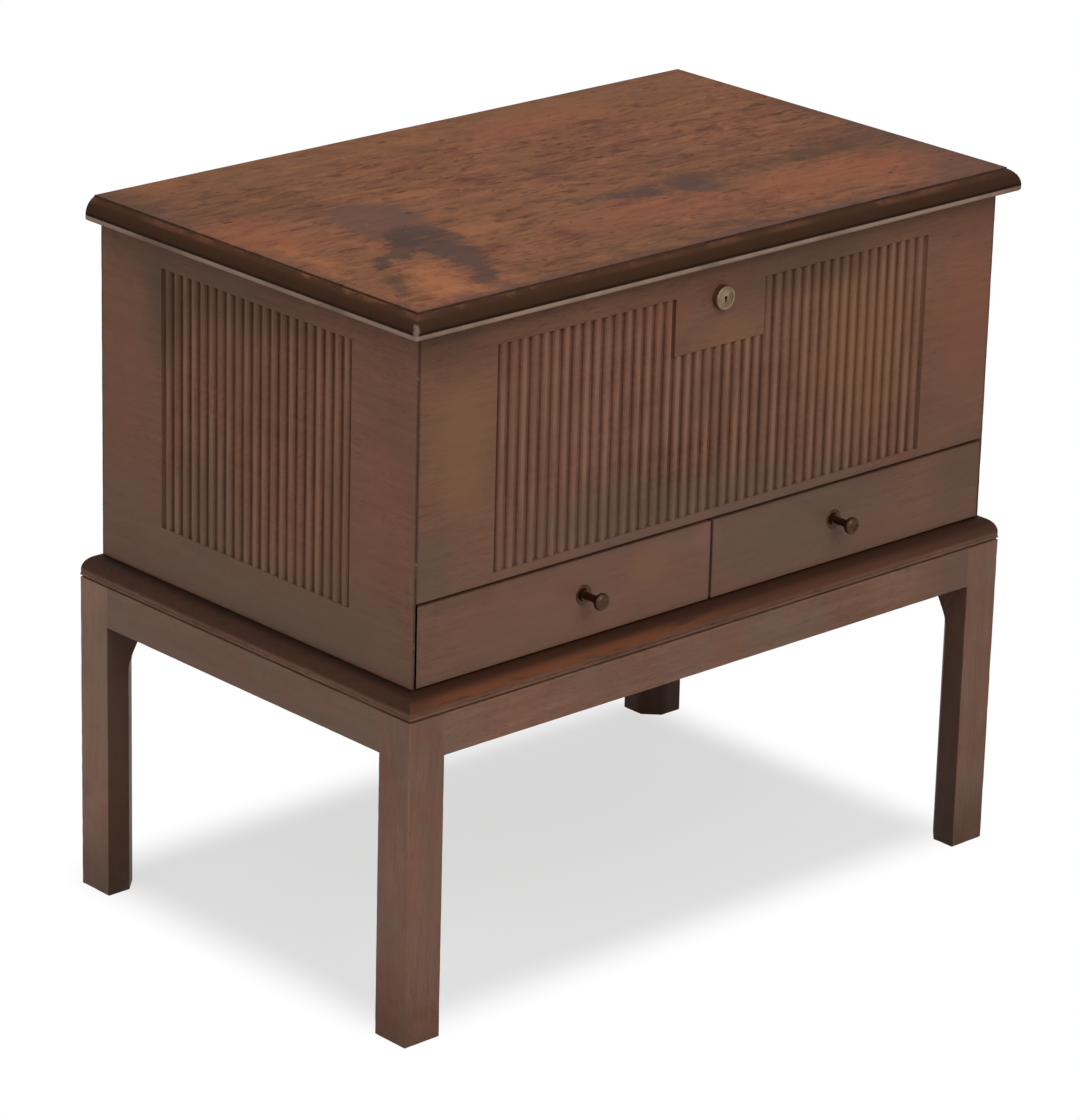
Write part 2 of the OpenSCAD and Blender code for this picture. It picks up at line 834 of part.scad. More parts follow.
module leaf_screws_at() {
    for (x = [-hinge_l / 3, 0, hinge_l / 3])
        translate([x, -leaf_screw_in, 0]) children();
}

module case_leaf_screw_places() {
    for (s = [-1, 1]) translate([s * hinge_x, case_d / 2, case_top])
        leaf_screws_at() rotate([180, 0, 0]) children();
}

module lid_leaf_screw_places() {
    for (s = [-1, 1]) translate([s * hinge_x, case_d / 2, case_top])
        leaf_screws_at() children();
}

module case_leaf(sx) {
    color(brass_colour) place() difference() {
        at_hinge(sx) leaf(-1, 0, heel_top - heel_angle);
        case_leaf_screw_places() pilot(wood_screw_r, wood_screw_l, wood_screw_head);
    }
}

module lid_leaf(sx) {
    color(brass_colour) place() difference() {
        at_hinge(sx) leaf(1, 1, heel_top + lid_open + heel_slack);
        lid_leaf_screw_places() pilot(wood_screw_r, wood_screw_l, wood_screw_head);
    }
}

module hinge_pin(sx) {
    color(brass_colour) place() at_hinge(sx) translate([-hinge_l / 2, 0, 0]) rotate([0, 90, 0]) {
        cylinder(r = pin_r, h = hinge_l);
        translate([0, 0, -pin_head]) cylinder(r1 = pin_r, r2 = pin_r + pin_head_lip, h = pin_head);
        translate([0, 0, hinge_l]) cylinder(r1 = pin_r + pin_head_lip, r2 = pin_r, h = pin_head);
    }
}

module hinge_case_screws() {
    color(brass_colour) place() case_leaf_screw_places()
        slotted_screw(wood_screw_r, wood_screw_l, wood_screw_head);
}

module hinge_lid_screws() {
    color(brass_colour) place() lid_leaf_screw_places()
        slotted_screw(wood_screw_r, wood_screw_l, wood_screw_head);
}

// Lid

// One edge of the lid, to cut from a board whose edge is the Y axis: lip, round, step
module lid_edge_cut() {
    rise = lid_t - lip_h - lid_step;
    r = (pow(lid_round_w, 2) + pow(rise, 2)) / (2 * lid_round_w);
    difference() {
        translate([-over, lip_h]) square([lid_round_w + over, rise]);
        translate([r, lip_h]) circle(r, $fn = 128);
    }
    translate([-over, lip_h + rise]) square([lid_round_w + over, lid_step + over]);
    difference() {
        translate([-over, -over]) square([under_r + over, under_r + over]);
        translate([under_r, under_r]) circle(under_r);
    }
}

module lid_board() {
    x = case_w / 2 + lid_side;
    y = case_d / 2 + lid_front;
    color(top_colour) place() difference() {
        translate([0, 0, case_top]) intersection() {
            rotate([90, 0, 0]) linear_extrude(height = 2 * (y + over), center = true) difference() {
                translate([-x, 0]) square([2 * x, lid_t]);
                translate([-x, 0]) lid_edge_cut();
                translate([x, 0]) mirror([1, 0]) lid_edge_cut();
            }
            rotate([90, 0, 90]) linear_extrude(height = 2 * (x + over), center = true) difference() {
                translate([-y, 0]) square([y + case_d / 2, lid_t]);
                translate([-y, 0]) lid_edge_cut();
            }
        }
        for (s = [-1, 1]) block([s * hinge_x - hinge_l / 2, leaf_y, case_top - over],
                                [s * hinge_x + hinge_l / 2, case_d / 2 + over, case_top + leaf_t]);
        lid_leaf_screw_places() pilot(wood_screw_r, wood_screw_l, wood_screw_head);
        block([-plate_w / 2, plate_y, case_top - over],
              [plate_w / 2, plate_y + plate_d, case_top + plate_t]);
        link_screw_places() pilot(small_screw_r, small_screw_l, small_screw_head);
    }
}

// Drawers: modelled on the left and mirrored for the right

box_out = -inner_x + run_side;
box_in = -divider_t / 2 - run_side;
box_front = face_y + front_t;
box_back = back_y - run_back;
bottom_low = drawer_z + drawer_bottom_z;
bottom_high = bottom_low + drawer_bottom_t;
lining_top = drawer_z + lining_h;
back_drop = 3;
bottom_groove = 4;
tail_slope = 7;        // a tail widens by one part in this many
tail_share = 0.3;      // half a tail's narrow end, as a share of the tails' pitch

module left_or_right(sx) {
    place() to_corner(sx, -1) children();
}

// Dovetail on the front end of a drawer side, seen from above
module tongue_outline(x) {
    neck = 1.5;
    root = 0.6;
    polygon([[x + neck, over], [x + neck, 0], [x + root, -tongue_d],
             [x + lining_t - root, -tongue_d], [x + lining_t - neck, 0],
             [x + lining_t - neck, over]]);
}

module tongue(x) {
    translate([0, box_front, drawer_z]) linear_extrude(height = lining_h) tongue_outline(x);
}

// The groove for a tongue is open at the foot of the drawer front, where the side slides in
module tongue_groove(x) {
    translate([0, box_front, front_z - over])
        linear_extrude(height = lining_top - front_z + over) tongue_outline(x);
}

// Tails at the back end of a drawer side, seen from the side
module tail_row() {
    low = bottom_high;
    high = lining_top - back_drop;
    pitch = (high - low) / tails;
    slope = lining_t / tail_slope;
    half = pitch * tail_share;
    for (i = [0 : tails - 1]) {
        z = low + (i + 0.5) * pitch;
        polygon([[box_back - lining_t, z - half], [box_back, z - half - slope],
                 [box_back, z + half + slope], [box_back - lining_t, z + half]]);
    }
}

module side_tails(x) {
    translate([x, 0, 0]) rotate([90, 0, 90]) linear_extrude(height = lining_t) tail_row();
}

module drawer_front(sx) {
    w = case_w / 2;
    color(case_colour) left_or_right(sx) difference() {
        translate([0, 0, front_z]) linear_extrude(height = drawer_front_h)
            polygon([[-w + mitre_gap, face_y], [-middle_gap / 2, face_y],
                     [-middle_gap / 2, face_y + front_t],
                     [-w + mitre_gap + front_t, face_y + front_t]]);
        tongue_groove(box_out);
        tongue_groove(box_in - lining_t);
        block([box_out + lining_t, box_front - bottom_groove, bottom_low],
              [box_in - lining_t, box_front + over, bottom_high]);
        knob_axis() translate([0, 0, -board_t])
            cylinder(r = knob_screw_r + bush_clear, h = board_t + over);
    }
}

module drawer_side(sx, x, inner_dir) {
    color(lining_colour) left_or_right(sx) difference() {
        union() {
            difference() {
                block([x, box_front, drawer_z], [x + lining_t, box_back, lining_top]);
                block([x - over, box_back - lining_t, bottom_high],
                      [x + lining_t + over, box_back + over, lining_top + over]);
            }
            side_tails(x);
            tongue(x);
        }
        block([inner_dir > 0 ? x + lining_t - bottom_groove : x - over, box_front, bottom_low],
              [inner_dir > 0 ? x + lining_t + over : x + bottom_groove,
               box_back + over, bottom_high]);
    }
}

module drawer_back(sx) {
    color(lining_colour) left_or_right(sx) difference() {
        block([box_out, box_back - lining_t, bottom_high],
              [box_in, box_back, lining_top - back_drop]);
        side_tails(box_out);
        side_tails(box_in - lining_t);
        bottom_screw_places() pilot(small_screw_r, small_screw_l, small_screw_head);
    }
}

module bottom_screw_places() {
    for (t = [1 / 4, 3 / 4])
        translate([box_out + (box_in - box_out) * t, box_back - lining_t / 2, bottom_low])
            children();
}

module drawer_bottom(sx) {
    color(lining_colour) left_or_right(sx) difference() {
        union() {
            block([box_out + lining_t - bottom_groove, box_front, bottom_low],
                  [box_in - lining_t + bottom_groove, box_back, bottom_high]);
            block([box_out + lining_t, box_front - bottom_groove, bottom_low],
                  [box_in - lining_t, box_front + over, bottom_high]);
        }
        bottom_screw_places() pilot(small_screw_r, small_screw_l, small_screw_head);
    }
}

module drawer_bottom_screws(sx) {
    color(steel_colour) left_or_right(sx) bottom_screw_places()
        slotted_screw(small_screw_r, small_screw_l, small_screw_head);
}

// Knobs

knob_screw_r = 2;
knob_screw_head = 3.8;
knob_screw_grip = 8;

module knob_axis() {
    translate([-knob_x, face_y, stand_h + knob_z]) to_front() children();
}

// Half of the knob's outline: foot, waisted neck, collar and a dished head
module knob_outline() {
    head_t = knob_r;
    head_y = knob_l - rosette_t - head_t / 2;
    foot_r = neck_r + 2.2;
    foot_h = 1.6;
    collar_r = neck_r + 1.1;
    collar_h = 1.6;
    collar_drop = 2;
    square([foot_r, foot_h]);
    square([neck_r, head_y]);
    translate([0, head_y - head_t / 2 - collar_drop]) square([collar_r, collar_h]);
    intersection() {
        translate([0, head_y - head_t / 2]) square([knob_r, head_t]);
        translate([knob_r - head_t / 2, head_y]) circle(head_t / 2);
    }
    translate([0, head_y - head_t / 2]) square([knob_r - head_t / 2, head_t]);
}

module knob(sx) {
    dish_rim = 0.2;
    dish_r = knob_r / 2 - dish_rim;
    dish_d = 1;
    r = (pow(dish_r, 2) + pow(dish_d, 2)) / (2 * dish_d);
    color(dark_brass_colour) left_or_right(sx) knob_axis() translate([0, 0, rosette_t])
        difference() {
            rotate_extrude() knob_outline();
            translate([0, 0, -over])
                cylinder(r = knob_screw_r - screw_grip, h = knob_screw_grip + over);
            translate([0, 0, knob_l - rosette_t - dish_d + r]) sphere(r = r);
        }
}

// A round plate with a rounded rim and a raised middle
module rosette(sx) {
    rim = rosette_t / 2;
    inner_r = knob_screw_r + bush_clear;
    color(dark_brass_colour) left_or_right(sx) knob_axis() rotate_extrude() {
        translate([inner_r, 0]) square([rosette_r - rim - inner_r, rim]);
        translate([inner_r, 0]) square([rosette_r - 3 * rim - inner_r, rosette_t]);
        intersection() {
            translate([rosette_r - rim, 0]) circle(rim);
            square([rosette_r, rim]);
        }
    }
}

module knob_screw(sx) {
    head_h = 2;
    end_gap = 1;
    color(steel_colour) left_or_right(sx) knob_axis() {
        translate([0, 0, -front_t])
            cylinder(r = knob_screw_r, h = front_t + rosette_t + knob_screw_grip - end_gap);
        translate([0, 0, -front_t - head_h]) difference() {
            cylinder(r = knob_screw_head, h = head_h);
            screw_slot(knob_screw_head);
        }
    }
}

leg(-1, -1);  // leg_front_left
leg(1, -1);  // leg_front_right
leg(-1, 1);  // leg_back_left
leg(1, 1);  // leg_back_right
apron_long(-1);  // apron_front
apron_long(1);  // apron_back
apron_short(-1);  // apron_left
apron_short(1);  // apron_right
stand_top_long(-1);  // stand_top_front
stand_top_long(1);  // stand_top_back
stand_top_short(-1);  // stand_top_left
stand_top_short(1);  // stand_top_right
glue_blocks();
case_screws();
side(-1);  // side_left
side(1);  // side_right
front_panel();
back_panel();
back_screws();
bottom_board();
chest_floor();
drawer_divider();
lock_case();
lock_cap();
lock_barrel();
lock_screws();
lock_plug();
lock_bolt();
case_leaf(-1);  // hinge_left_case_leaf
case_leaf(1);  // hinge_right_case_leaf
hinge_pin(-1);  // hinge_left_pin
hinge_pin(1);  // hinge_right_pin
hinge_case_screws();
lid_board();
lid_leaf(-1);  // hinge_left_lid_leaf
lid_leaf(1);  // hinge_right_lid_leaf
hinge_lid_screws();
link_plate();
link_plate_screws();
drawer_front(-1);  // drawer_left_front
drawer_side(-1, box_out, 1);  // drawer_left_outer_side
drawer_side(-1, box_in - lining_t, -1);  // drawer_left_inner_side
drawer_back(-1);  // drawer_left_back
drawer_bottom(-1);  // drawer_left_bottom
drawer_bottom_screws(-1);  // drawer_left_bottom_screws
knob(-1);  // drawer_left_knob
rosette(-1);  // drawer_left_rosette
knob_screw(-1);  // drawer_left_knob_screw
drawer_front(1);  // drawer_right_front
drawer_side(1, box_out, 1);  // drawer_right_outer_side
drawer_side(1, box_in - lining_t, -1);  // drawer_right_inner_side
drawer_back(1);  // drawer_right_back
drawer_bottom(1);  // drawer_right_bottom
drawer_bottom_screws(1);  // drawer_right_bottom_screws
knob(1);  // drawer_right_knob
rosette(1);  // drawer_right_rosette
knob_screw(1);  // drawer_right_knob_screw
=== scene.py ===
"""A low wooden chest with a hinged lid over two small drawers, on an open stand.

Everything is in metres. X runs to the right, Y to the back and Z up; the front faces -Y.
Each board that shows on the outside is a copy of its construction piece, most with their plain
outer edges rounded and dented by use; the stand's moulded top frame is copied as it is.
The linings and the metal keep their own shape.
"""
import json
import math

import bpy
import bmesh
from mathutils import Matrix, Vector, noise

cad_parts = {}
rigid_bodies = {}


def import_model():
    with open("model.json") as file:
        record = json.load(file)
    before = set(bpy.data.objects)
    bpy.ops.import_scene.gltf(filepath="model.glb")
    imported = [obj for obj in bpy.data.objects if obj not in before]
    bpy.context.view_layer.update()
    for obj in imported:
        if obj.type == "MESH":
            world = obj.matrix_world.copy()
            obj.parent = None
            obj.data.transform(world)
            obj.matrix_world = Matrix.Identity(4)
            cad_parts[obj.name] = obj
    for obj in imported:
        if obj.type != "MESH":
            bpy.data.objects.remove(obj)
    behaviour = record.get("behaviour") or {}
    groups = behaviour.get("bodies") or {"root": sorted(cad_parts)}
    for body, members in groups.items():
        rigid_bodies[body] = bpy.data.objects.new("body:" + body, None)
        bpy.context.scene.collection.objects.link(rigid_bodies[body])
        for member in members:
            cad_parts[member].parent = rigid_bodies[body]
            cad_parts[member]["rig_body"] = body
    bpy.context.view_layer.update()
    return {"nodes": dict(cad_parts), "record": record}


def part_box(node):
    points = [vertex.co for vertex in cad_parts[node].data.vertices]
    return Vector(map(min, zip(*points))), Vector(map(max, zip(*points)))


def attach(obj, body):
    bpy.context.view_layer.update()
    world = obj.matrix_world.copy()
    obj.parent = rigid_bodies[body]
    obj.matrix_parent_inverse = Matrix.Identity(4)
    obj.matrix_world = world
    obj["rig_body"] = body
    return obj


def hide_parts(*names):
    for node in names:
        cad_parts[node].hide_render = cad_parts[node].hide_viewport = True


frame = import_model()
nodes = frame["nodes"]
SLOTS = {part["node"]: part["material_slot"] for part in frame["record"]["subparts"]}

MM = 0.001

# Places read from the frame
side_low, side_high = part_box("side_left")
lid_low, lid_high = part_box("lid_board")
ledge_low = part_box("stand_top_front")[0]

CASE_LEFT = side_low.x
CASE_RIGHT = -side_low.x
FACE_Y = side_low.y
BACK_Y = side_high.y
CASE_FOOT = side_low.z
CASE_TOP = side_high.z
CENTRE_Y = (FACE_Y + BACK_Y) / 2
LID_TOP = lid_high.z
STAND_LEFT = ledge_low.x
APRON_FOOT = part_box("apron_front")[0].z


# Materials


class Tree:
    """The nodes of one material, made and joined by short calls."""

    def __init__(self, name):
        self.material = bpy.data.materials.new(name)
        self.material.use_nodes = True
        self.nodes = self.material.node_tree.nodes
        self.links = self.material.node_tree.links
        self.shader = self.nodes["Principled BSDF"]
        self.place = self.nodes.new("ShaderNodeTexCoord").outputs["Object"]
        self.x, self.y, self.z = self.split(self.place)

    def put(self, value, socket):
        """Gives a socket a link or a plain value."""
        if isinstance(value, bpy.types.NodeSocket):
            self.links.new(value, socket)
        else:
            socket.default_value = value

    def split(self, vector):
        parts = self.nodes.new("ShaderNodeSeparateXYZ")
        self.put(vector, parts.inputs[0])
        return parts.outputs["X"], parts.outputs["Y"], parts.outputs["Z"]

    def join(self, x, y, z):
        whole = self.nodes.new("ShaderNodeCombineXYZ")
        for value, socket in zip((x, y, z), whole.inputs):
            self.put(value, socket)
        return whole.outputs[0]

    def math(self, operation, a, b=0.0, c=0.0, clamp=False):
        node = self.nodes.new("ShaderNodeMath")
        node.operation = operation
        node.use_clamp = clamp
        for value, socket in zip((a, b, c), node.inputs):
            self.put(value, socket)
        return node.outputs[0]

    def product(self, first, *others):
        """Masks multiplied together."""
        for other in others:
            first = self.math("MULTIPLY", first, other)
        return first

    def vector(self, operation, a, b=(0, 0, 0)):
        node = self.nodes.new("ShaderNodeVectorMath")
        node.operation = operation
        self.put(a, node.inputs[0])
        self.put(b, node.inputs[1])
        return node.outputs["Value" if operation in ("LENGTH", "DOT_PRODUCT") else "Vector"]

    def noise(self, vector, scale, detail=2.0, roughness=0.5, distortion=0.0, colour=False):
        node = self.nodes.new("ShaderNodeTexNoise")
        self.put(vector, node.inputs["Vector"])
        node.inputs["Scale"].default_value = scale
        node.inputs["Detail"].default_value = detail
        node.inputs["Roughness"].default_value = roughness
        node.inputs["Distortion"].default_value = distortion
        return node.outputs["Color" if colour else "Fac"]

    def fade(self, value, start, end, low=0.0, high=1.0):
        """Goes smoothly from low, where value is at start, to high, where it is at end."""
        node = self.nodes.new("ShaderNodeMapRange")
        node.interpolation_type = "SMOOTHSTEP"
        self.put(value, node.inputs["Value"])
        if start > end:
            start, end, low, high = end, start, high, low
        for name, number in (("From Min", start), ("From Max", end),
                             ("To Min", low), ("To Max", high)):
            node.inputs[name].default_value = number
        return node.outputs[0]

    def blend(self, share, a, b, mode="MIX"):
        """Colour a where the share is 0, going over to colour b where it is 1."""
        node = self.nodes.new("ShaderNodeMix")
        node.data_type = "RGBA"
        node.blend_type = mode
        self.put(share, node.inputs["Factor"])
        self.put(a, node.inputs[6])
        self.put(b, node.inputs[7])
        return node.outputs[2]

    def tones(self, value, stops):
        """Colours along a value, from (position, colour) pairs."""
        node = self.nodes.new("ShaderNodeValToRGB")
        self.put(value, node.inputs[0])
        band = node.color_ramp
        band.elements[0].position, band.elements[1].position = stops[0][0], stops[-1][0]
        band.elements[0].color, band.elements[1].color = stops[0][1], stops[-1][1]
        for position, colour in stops[1:-1]:
            band.elements.new(position).color = colour
        return node.outputs["Color"]

    def spot(self, centre, size, ragged=0.25, roam=9.0, core=0.55):
        """A patch with a ragged outline: 1 inside the core, a share of its size, and 0 outside."""
        away = self.vector("SUBTRACT", self.place, centre)
        away = self.vector("DIVIDE", away, size)
        reach = self.vector("LENGTH", away)
        bite = self.math("MULTIPLY_ADD", self.noise(self.place, roam, 3.0, 0.6),
                         4 * ragged, -2 * ragged)
        return self.fade(self.math("ADD", reach, bite), 1.0, core)

    def wander(self, reach, scale):
        """The place, shifted by up to a reach or so, for outlines that look natural."""
        shift = self.noise(self.place, scale, 6.0, 0.7, colour=True)
        shift = self.vector("SUBTRACT", shift, (0.5, 0.5, 0.5))
        return self.vector("ADD", self.place, self.vector("MULTIPLY", shift, (4 * reach,) * 3))

    def stroke(self, place, start, end, first, last, soft):
        """A stroke between two points, with its half width at each of them."""
        run = Vector(end) - Vector(start)
        away = self.vector("MULTIPLY", self.vector("SUBTRACT", place, start), (1, 1, 3))
        along = self.math("MULTIPLY", self.vector("DOT_PRODUCT", away, run), 1 / run.length_squared,
                          clamp=True)
        nearest = self.vector("MULTIPLY", run, self.join(along, along, along))
        reach = self.vector("LENGTH", self.vector("SUBTRACT", away, nearest))
        share = self.math("DIVIDE", reach, self.math("MULTIPLY_ADD", along, last - first, first))
        return self.fade(share, 1.0 + soft / 2, 1.0 - soft)

    def edge_distance(self, low, high):
        """Distance, on the surface of a box, to the nearest of its edges."""
        gaps = []
        for value, start, end in zip((self.x, self.y, self.z), low, high):
            gaps.append(self.math("MINIMUM", self.math("SUBTRACT", value, start),
                                  self.math("SUBTRACT", end, value)))
        least = self.math("MINIMUM", gaps[0], gaps[1])
        most = self.math("MAXIMUM", gaps[0], gaps[1])
        return self.math("MAXIMUM", least, self.math("MINIMUM", most, gaps[2]))

    def bump(self, height, strength, distance):
        """Fine relief on the surface."""
        node = self.nodes.new("ShaderNodeBump")
        node.inputs["Strength"].default_value = strength
        node.inputs["Distance"].default_value = distance
        self.put(height, node.inputs["Height"])
        self.links.new(node.outputs[0], self.shader.inputs["Normal"])

    def finish(self, colour, roughness):
        """Gives the shader its colour and roughness, and returns the material."""
        self.put(colour, self.shader.inputs["Base Color"])
        self.put(roughness, self.shader.inputs["Roughness"])
        return self.material


def tone(red, green, blue):
    """A screen colour, 0 to 255, as the light it stands for."""
    def light(value):
        share = value / 255
        return share / 12.92 if share <= 0.04045 else ((share + 0.055) / 1.055) ** 2.4
    return (light(red), light(green), light(blue), 1.0)


# The axes in the order along the grain, then across it
GRAIN_ORDER = {"X": (0, 1, 2), "Y": (1, 2, 0), "Z": (2, 0, 1)}
# Each board is cut from another part of one large trunk: how far away, for each unit of the seed
SEED_STEP = (0.713, 0.377, 0.191)
# How far the heart of the trunk lies from a board, across the grain
HEART_OFF = (0.03, -0.07)
PORE = tone(38, 22, 16)


class Wood(Tree):
    """Hardwood whose grain runs along one axis, before its own wear and stains are added."""

    def __init__(self, name, grain, seed, palette, ring_pitch=0.008, figure=1.0, mottle=0.4):
        super().__init__(name)
        order = GRAIN_ORDER[grain]
        parts = [(self.x, self.y, self.z)[i] for i in order]
        shift = tuple(seed * step for step in SEED_STEP)
        board = self.vector("ADD", self.join(*parts), shift)

        # Growth rings round a heart that wanders along the board
        drift = self.noise(self.vector("MULTIPLY", board, (1.3, 4.0, 4.0)), 1.0, 2.0, 0.5, 0.4,
                           colour=True)
        drift = self.vector("MULTIPLY", self.vector("SUBTRACT", drift, (0.5, 0.5, 0.5)),
                            (0.0, 0.11, 0.11))
        heart = (0.0, shift[1] + HEART_OFF[0], shift[2] + HEART_OFF[1])
        radius = self.vector("SUBTRACT", self.vector("ADD", board, drift), heart)
        radius = self.vector("LENGTH", self.vector("MULTIPLY", radius, (0.0, 1.0, 1.0)))
        ring = self.math("SINE", self.product(radius, 2 * math.pi / ring_pitch))

        # Streaks, fibres and pores, all long and narrow along the grain
        streaks = self.noise(self.vector("MULTIPLY", board, (5.0, 60.0, 60.0)), 1.0, 5.0, 0.66, 0.5)
        fibres = self.noise(self.vector("MULTIPLY", board, (22.0, 620.0, 620.0)), 1.0, 2.0, 0.6)
        pores = self.noise(self.vector("MULTIPLY", board, (90.0, 1900.0, 1900.0)), 1.0, 1.0, 0.5)
        flecks = self.noise(self.vector("MULTIPLY", board, (30.0, 75.0, 75.0)), 1.0, 5.0, 0.7, 0.6)
        cloud = self.noise(board, 6.5, 3.0, 0.55, 0.3)

        value = self.math("MULTIPLY_ADD", ring, 0.035 * figure, 0.5)
        for part, share in ((streaks, 0.8 * figure), (fibres, 0.22), (cloud, 0.45), (flecks, mottle)):
            value = self.math("ADD", value, self.math("MULTIPLY_ADD", part, share, -share / 2))
        self.pore = self.fade(pores, 0.60, 0.68)
        self.fibre = fibres
        self.cloud = cloud
        self.colour = self.tones(value, palette)
        self.colour = self.blend(self.product(self.pore, 0.45), self.colour, PORE)
        self.rough = self.math("MULTIPLY_ADD", cloud, 0.25, 0.38)

    def tint(self, mask, colour, rougher=0.0):
        """Paints a colour over the wood where the mask is 1."""
        self.colour = self.blend(mask, self.colour, colour)
        if rougher:
            self.rough = self.math("MULTIPLY_ADD", mask, rougher, self.rough)

    def shade(self, mask, colour):
        """Stains the wood: multiplies it by a colour where the mask is 1."""
        self.colour = self.blend(mask, self.colour, colour, "MULTIPLY")

    def hue(self, colour, amount, scale=7.0):
        """Lets the wood lean towards another brown in large soft patches."""
        patch = self.fade(self.noise(self.place, scale, 2.0, 0.5, 0.6), 0.42, 0.62)
        self.tint(self.product(patch, amount), colour)

    def done(self, gloss):
        """Adds the relief of pores and fibres, and finishes the material."""
        height = self.math("MULTIPLY_ADD", self.pore, -1.0, self.product(self.fibre, 0.8))
        height = self.math("MULTIPLY_ADD", self.cloud, 1.5, height)
        self.bump(height, 0.35, 0.25 * MM)
        self.shader.inputs["Specular IOR Level"].default_value = gloss
        return self.finish(self.colour, self.rough)


LID_TONES = [(0.20, tone(66, 36, 23)), (0.40, tone(100, 59, 39)), (0.55, tone(122, 75, 49)),
             (0.80, tone(146, 95, 64))]
CASE_TONES = [(0.18, tone(74, 44, 33)), (0.42, tone(110, 73, 56)), (0.58, tone(124, 85, 66)),
              (0.82, tone(142, 100, 78))]
STAND_TONES = [(0.18, tone(82, 54, 42)), (0.42, tone(118, 85, 69)), (0.58, tone(134, 99, 82)),
               (0.82, tone(152, 116, 97))]
DIRT = tone(52, 40, 32)
PALE_WEAR = tone(150, 124, 104)
# How much each finish gleams: 0.5 is plain lacquer, and old wax is far below it
LID_GLOSS = 0.04
LEDGE_GLOSS = 0.08
BOARD_GLOSS = 0.14
LINING_GLOSS = 0.25


def add_edge_wear(wood, node, grain, amount):
    """Pale wear in places along the edges of a board that run with its grain."""
    low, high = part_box(node)
    low["XYZ".index(grain)] -= 1
    high["XYZ".index(grain)] += 1
    near = wood.fade(wood.edge_distance(low, high), 2.2 * MM, 0.2 * MM)
    patchy = wood.fade(wood.noise(wood.place, 38.0, 3.0, 0.65), 0.47, 0.66)
    wood.tint(wood.product(patchy, amount, near), PALE_WEAR, 0.1)


def add_grime(wood, mask, amount):
    """Old wax and dust, uneven, where the mask says that they gather."""
    uneven = wood.fade(wood.noise(wood.place, 22.0, 4.0, 0.7), 0.25, 0.6, 0.35, 1.0)
    wood.tint(wood.product(uneven, amount, mask), DIRT, 0.12)


def lid_place(x_mm, y_mm):
    """A point on top of the lid, from millimetres off its middle."""
    return (x_mm * MM, y_mm * MM + CENTRE_Y, LID_TOP)


OLIVE = tone(112, 76, 47)
RUSSET = tone(138, 76, 51)
ORANGE = tone(156, 97, 60)
PURPLE = tone(74, 50, 42)
PLUM = tone(88, 59, 48)
SLATE = tone(62, 43, 37)
UMBER = tone(75, 50, 33)
# Strokes of colour on the lid, in mm from its middle: start, end, half widths there, how
# soft the outline is, colour, and strength
LID_STROKES = [
    (-330, 190, 330, 180, 50, 40, 0.9, OLIVE, 0.4), (-320, 110, -240, 120, 60, 60, 0.9, UMBER, 0.4),
    (60, 150, 180, 160, 34, 40, 0.9, RUSSET, 0.35), (-366, 224, -366, 110, 52, 30, 0.8, UMBER, 0.8),
    (-200, -206, 110, -196, 24, 20, 0.8, UMBER, 0.45), (150, -140, 330, -150, 44, 34, 0.9, RUSSET, 0.45),
    (-320, 50, -330, -10, 34, 40, 0.9, RUSSET, 0.35), (-60, -120, 60, -126, 40, 36, 0.9, RUSSET, 0.35),
    (-66, -42, 2, -70, 7, 12, 0.7, PURPLE, 0.75), (6, -66, 96, -88, 14, 26, 0.6, PURPLE, 0.9),
    (90, -64, 240, -78, 20, 22, 0.9, UMBER, 0.7), (240, -78, 360, -70, 26, 56, 0.9, UMBER, 0.75),
    (372, -140, 300, -236, 60, 56, 0.8, PLUM, 0.7), (366, 60, 366, 10, 26, 30, 0.8, UMBER, 0.6),
    (-170, -78, -130, -66, 26, 20, 0.9, ORANGE, 0.35), (-318, -18, -344, -110, 14, 10, 0.9, ORANGE, 0.45),
    (-272, -136, -290, -176, 20, 26, 0.8, ORANGE, 0.6), (-296, -200, -262, -214, 18, 16, 0.8, ORANGE, 0.5),
    (-206, 18, -210, -30, 44, 42, 0.35, PLUM, 0.85), (-216, -60, -210, -102, 38, 28, 0.3, SLATE, 0.8),
    (-216, -106, -250, -186, 24, 16, 0.5, PURPLE, 0.9), (-246, -180, -258, -216, 15, 12, 0.8, PURPLE, 0.5),
    (-238, -64, -290, -104, 18, 15, 0.4, SLATE, 0.8), (-290, -104, -346, -196, 14, 7, 0.6, SLATE, 0.65),
]
# The lid's edge from the top down: border, painted shade line at the step, moulding and its
# crown, worn and with a painted highlight, painted shade line at its root, and the lip with a
# painted highlight; and the bare wood at the near corner
BORDER = tone(82, 56, 46)
STEP_SHADE = tone(38, 22, 14)
MOULDING = tone(54, 34, 21)
CROWN_WEAR_AND_HIGHLIGHT = tone(92, 59, 41)
ROOT_SHADE = tone(30, 17, 10)
LIP_HIGHLIGHT = tone(156, 130, 112)
PALE_CORNER = tone(158, 136, 122)
# Width of the lid's rounded moulding, and height of the upright lip under it
OVOLO = 10 * MM
LIP = 5.5 * MM
# Half sizes of the knocked place at the near corner
CORNER_SPOT = (6 * MM, 6 * MM, 16 * MM)


def lid_inset(wood):
    """Distance inwards from the front edge and the two ends of the lid."""
    inset = wood.math("MINIMUM", wood.math("SUBTRACT", wood.x, lid_low.x),
                      wood.math("SUBTRACT", lid_high.x, wood.x))
    return wood.math("MINIMUM", inset, wood.math("SUBTRACT", wood.y, lid_low.y))


def add_border(wood, inset, wander, above):
    """A darker band with a ragged outline, inside the moulding."""
    ragged = wood.math("MULTIPLY_ADD", wander, 50 * MM, -25 * MM)
    border = wood.fade(wood.math("ADD", inset, ragged), OVOLO + 14 * MM, OVOLO + 2 * MM)
    front = wood.fade(wood.y, lid_low.y + 60 * MM, lid_low.y + 30 * MM, 0.3, 0.8)
    wood.tint(wood.product(border, front, above), BORDER)


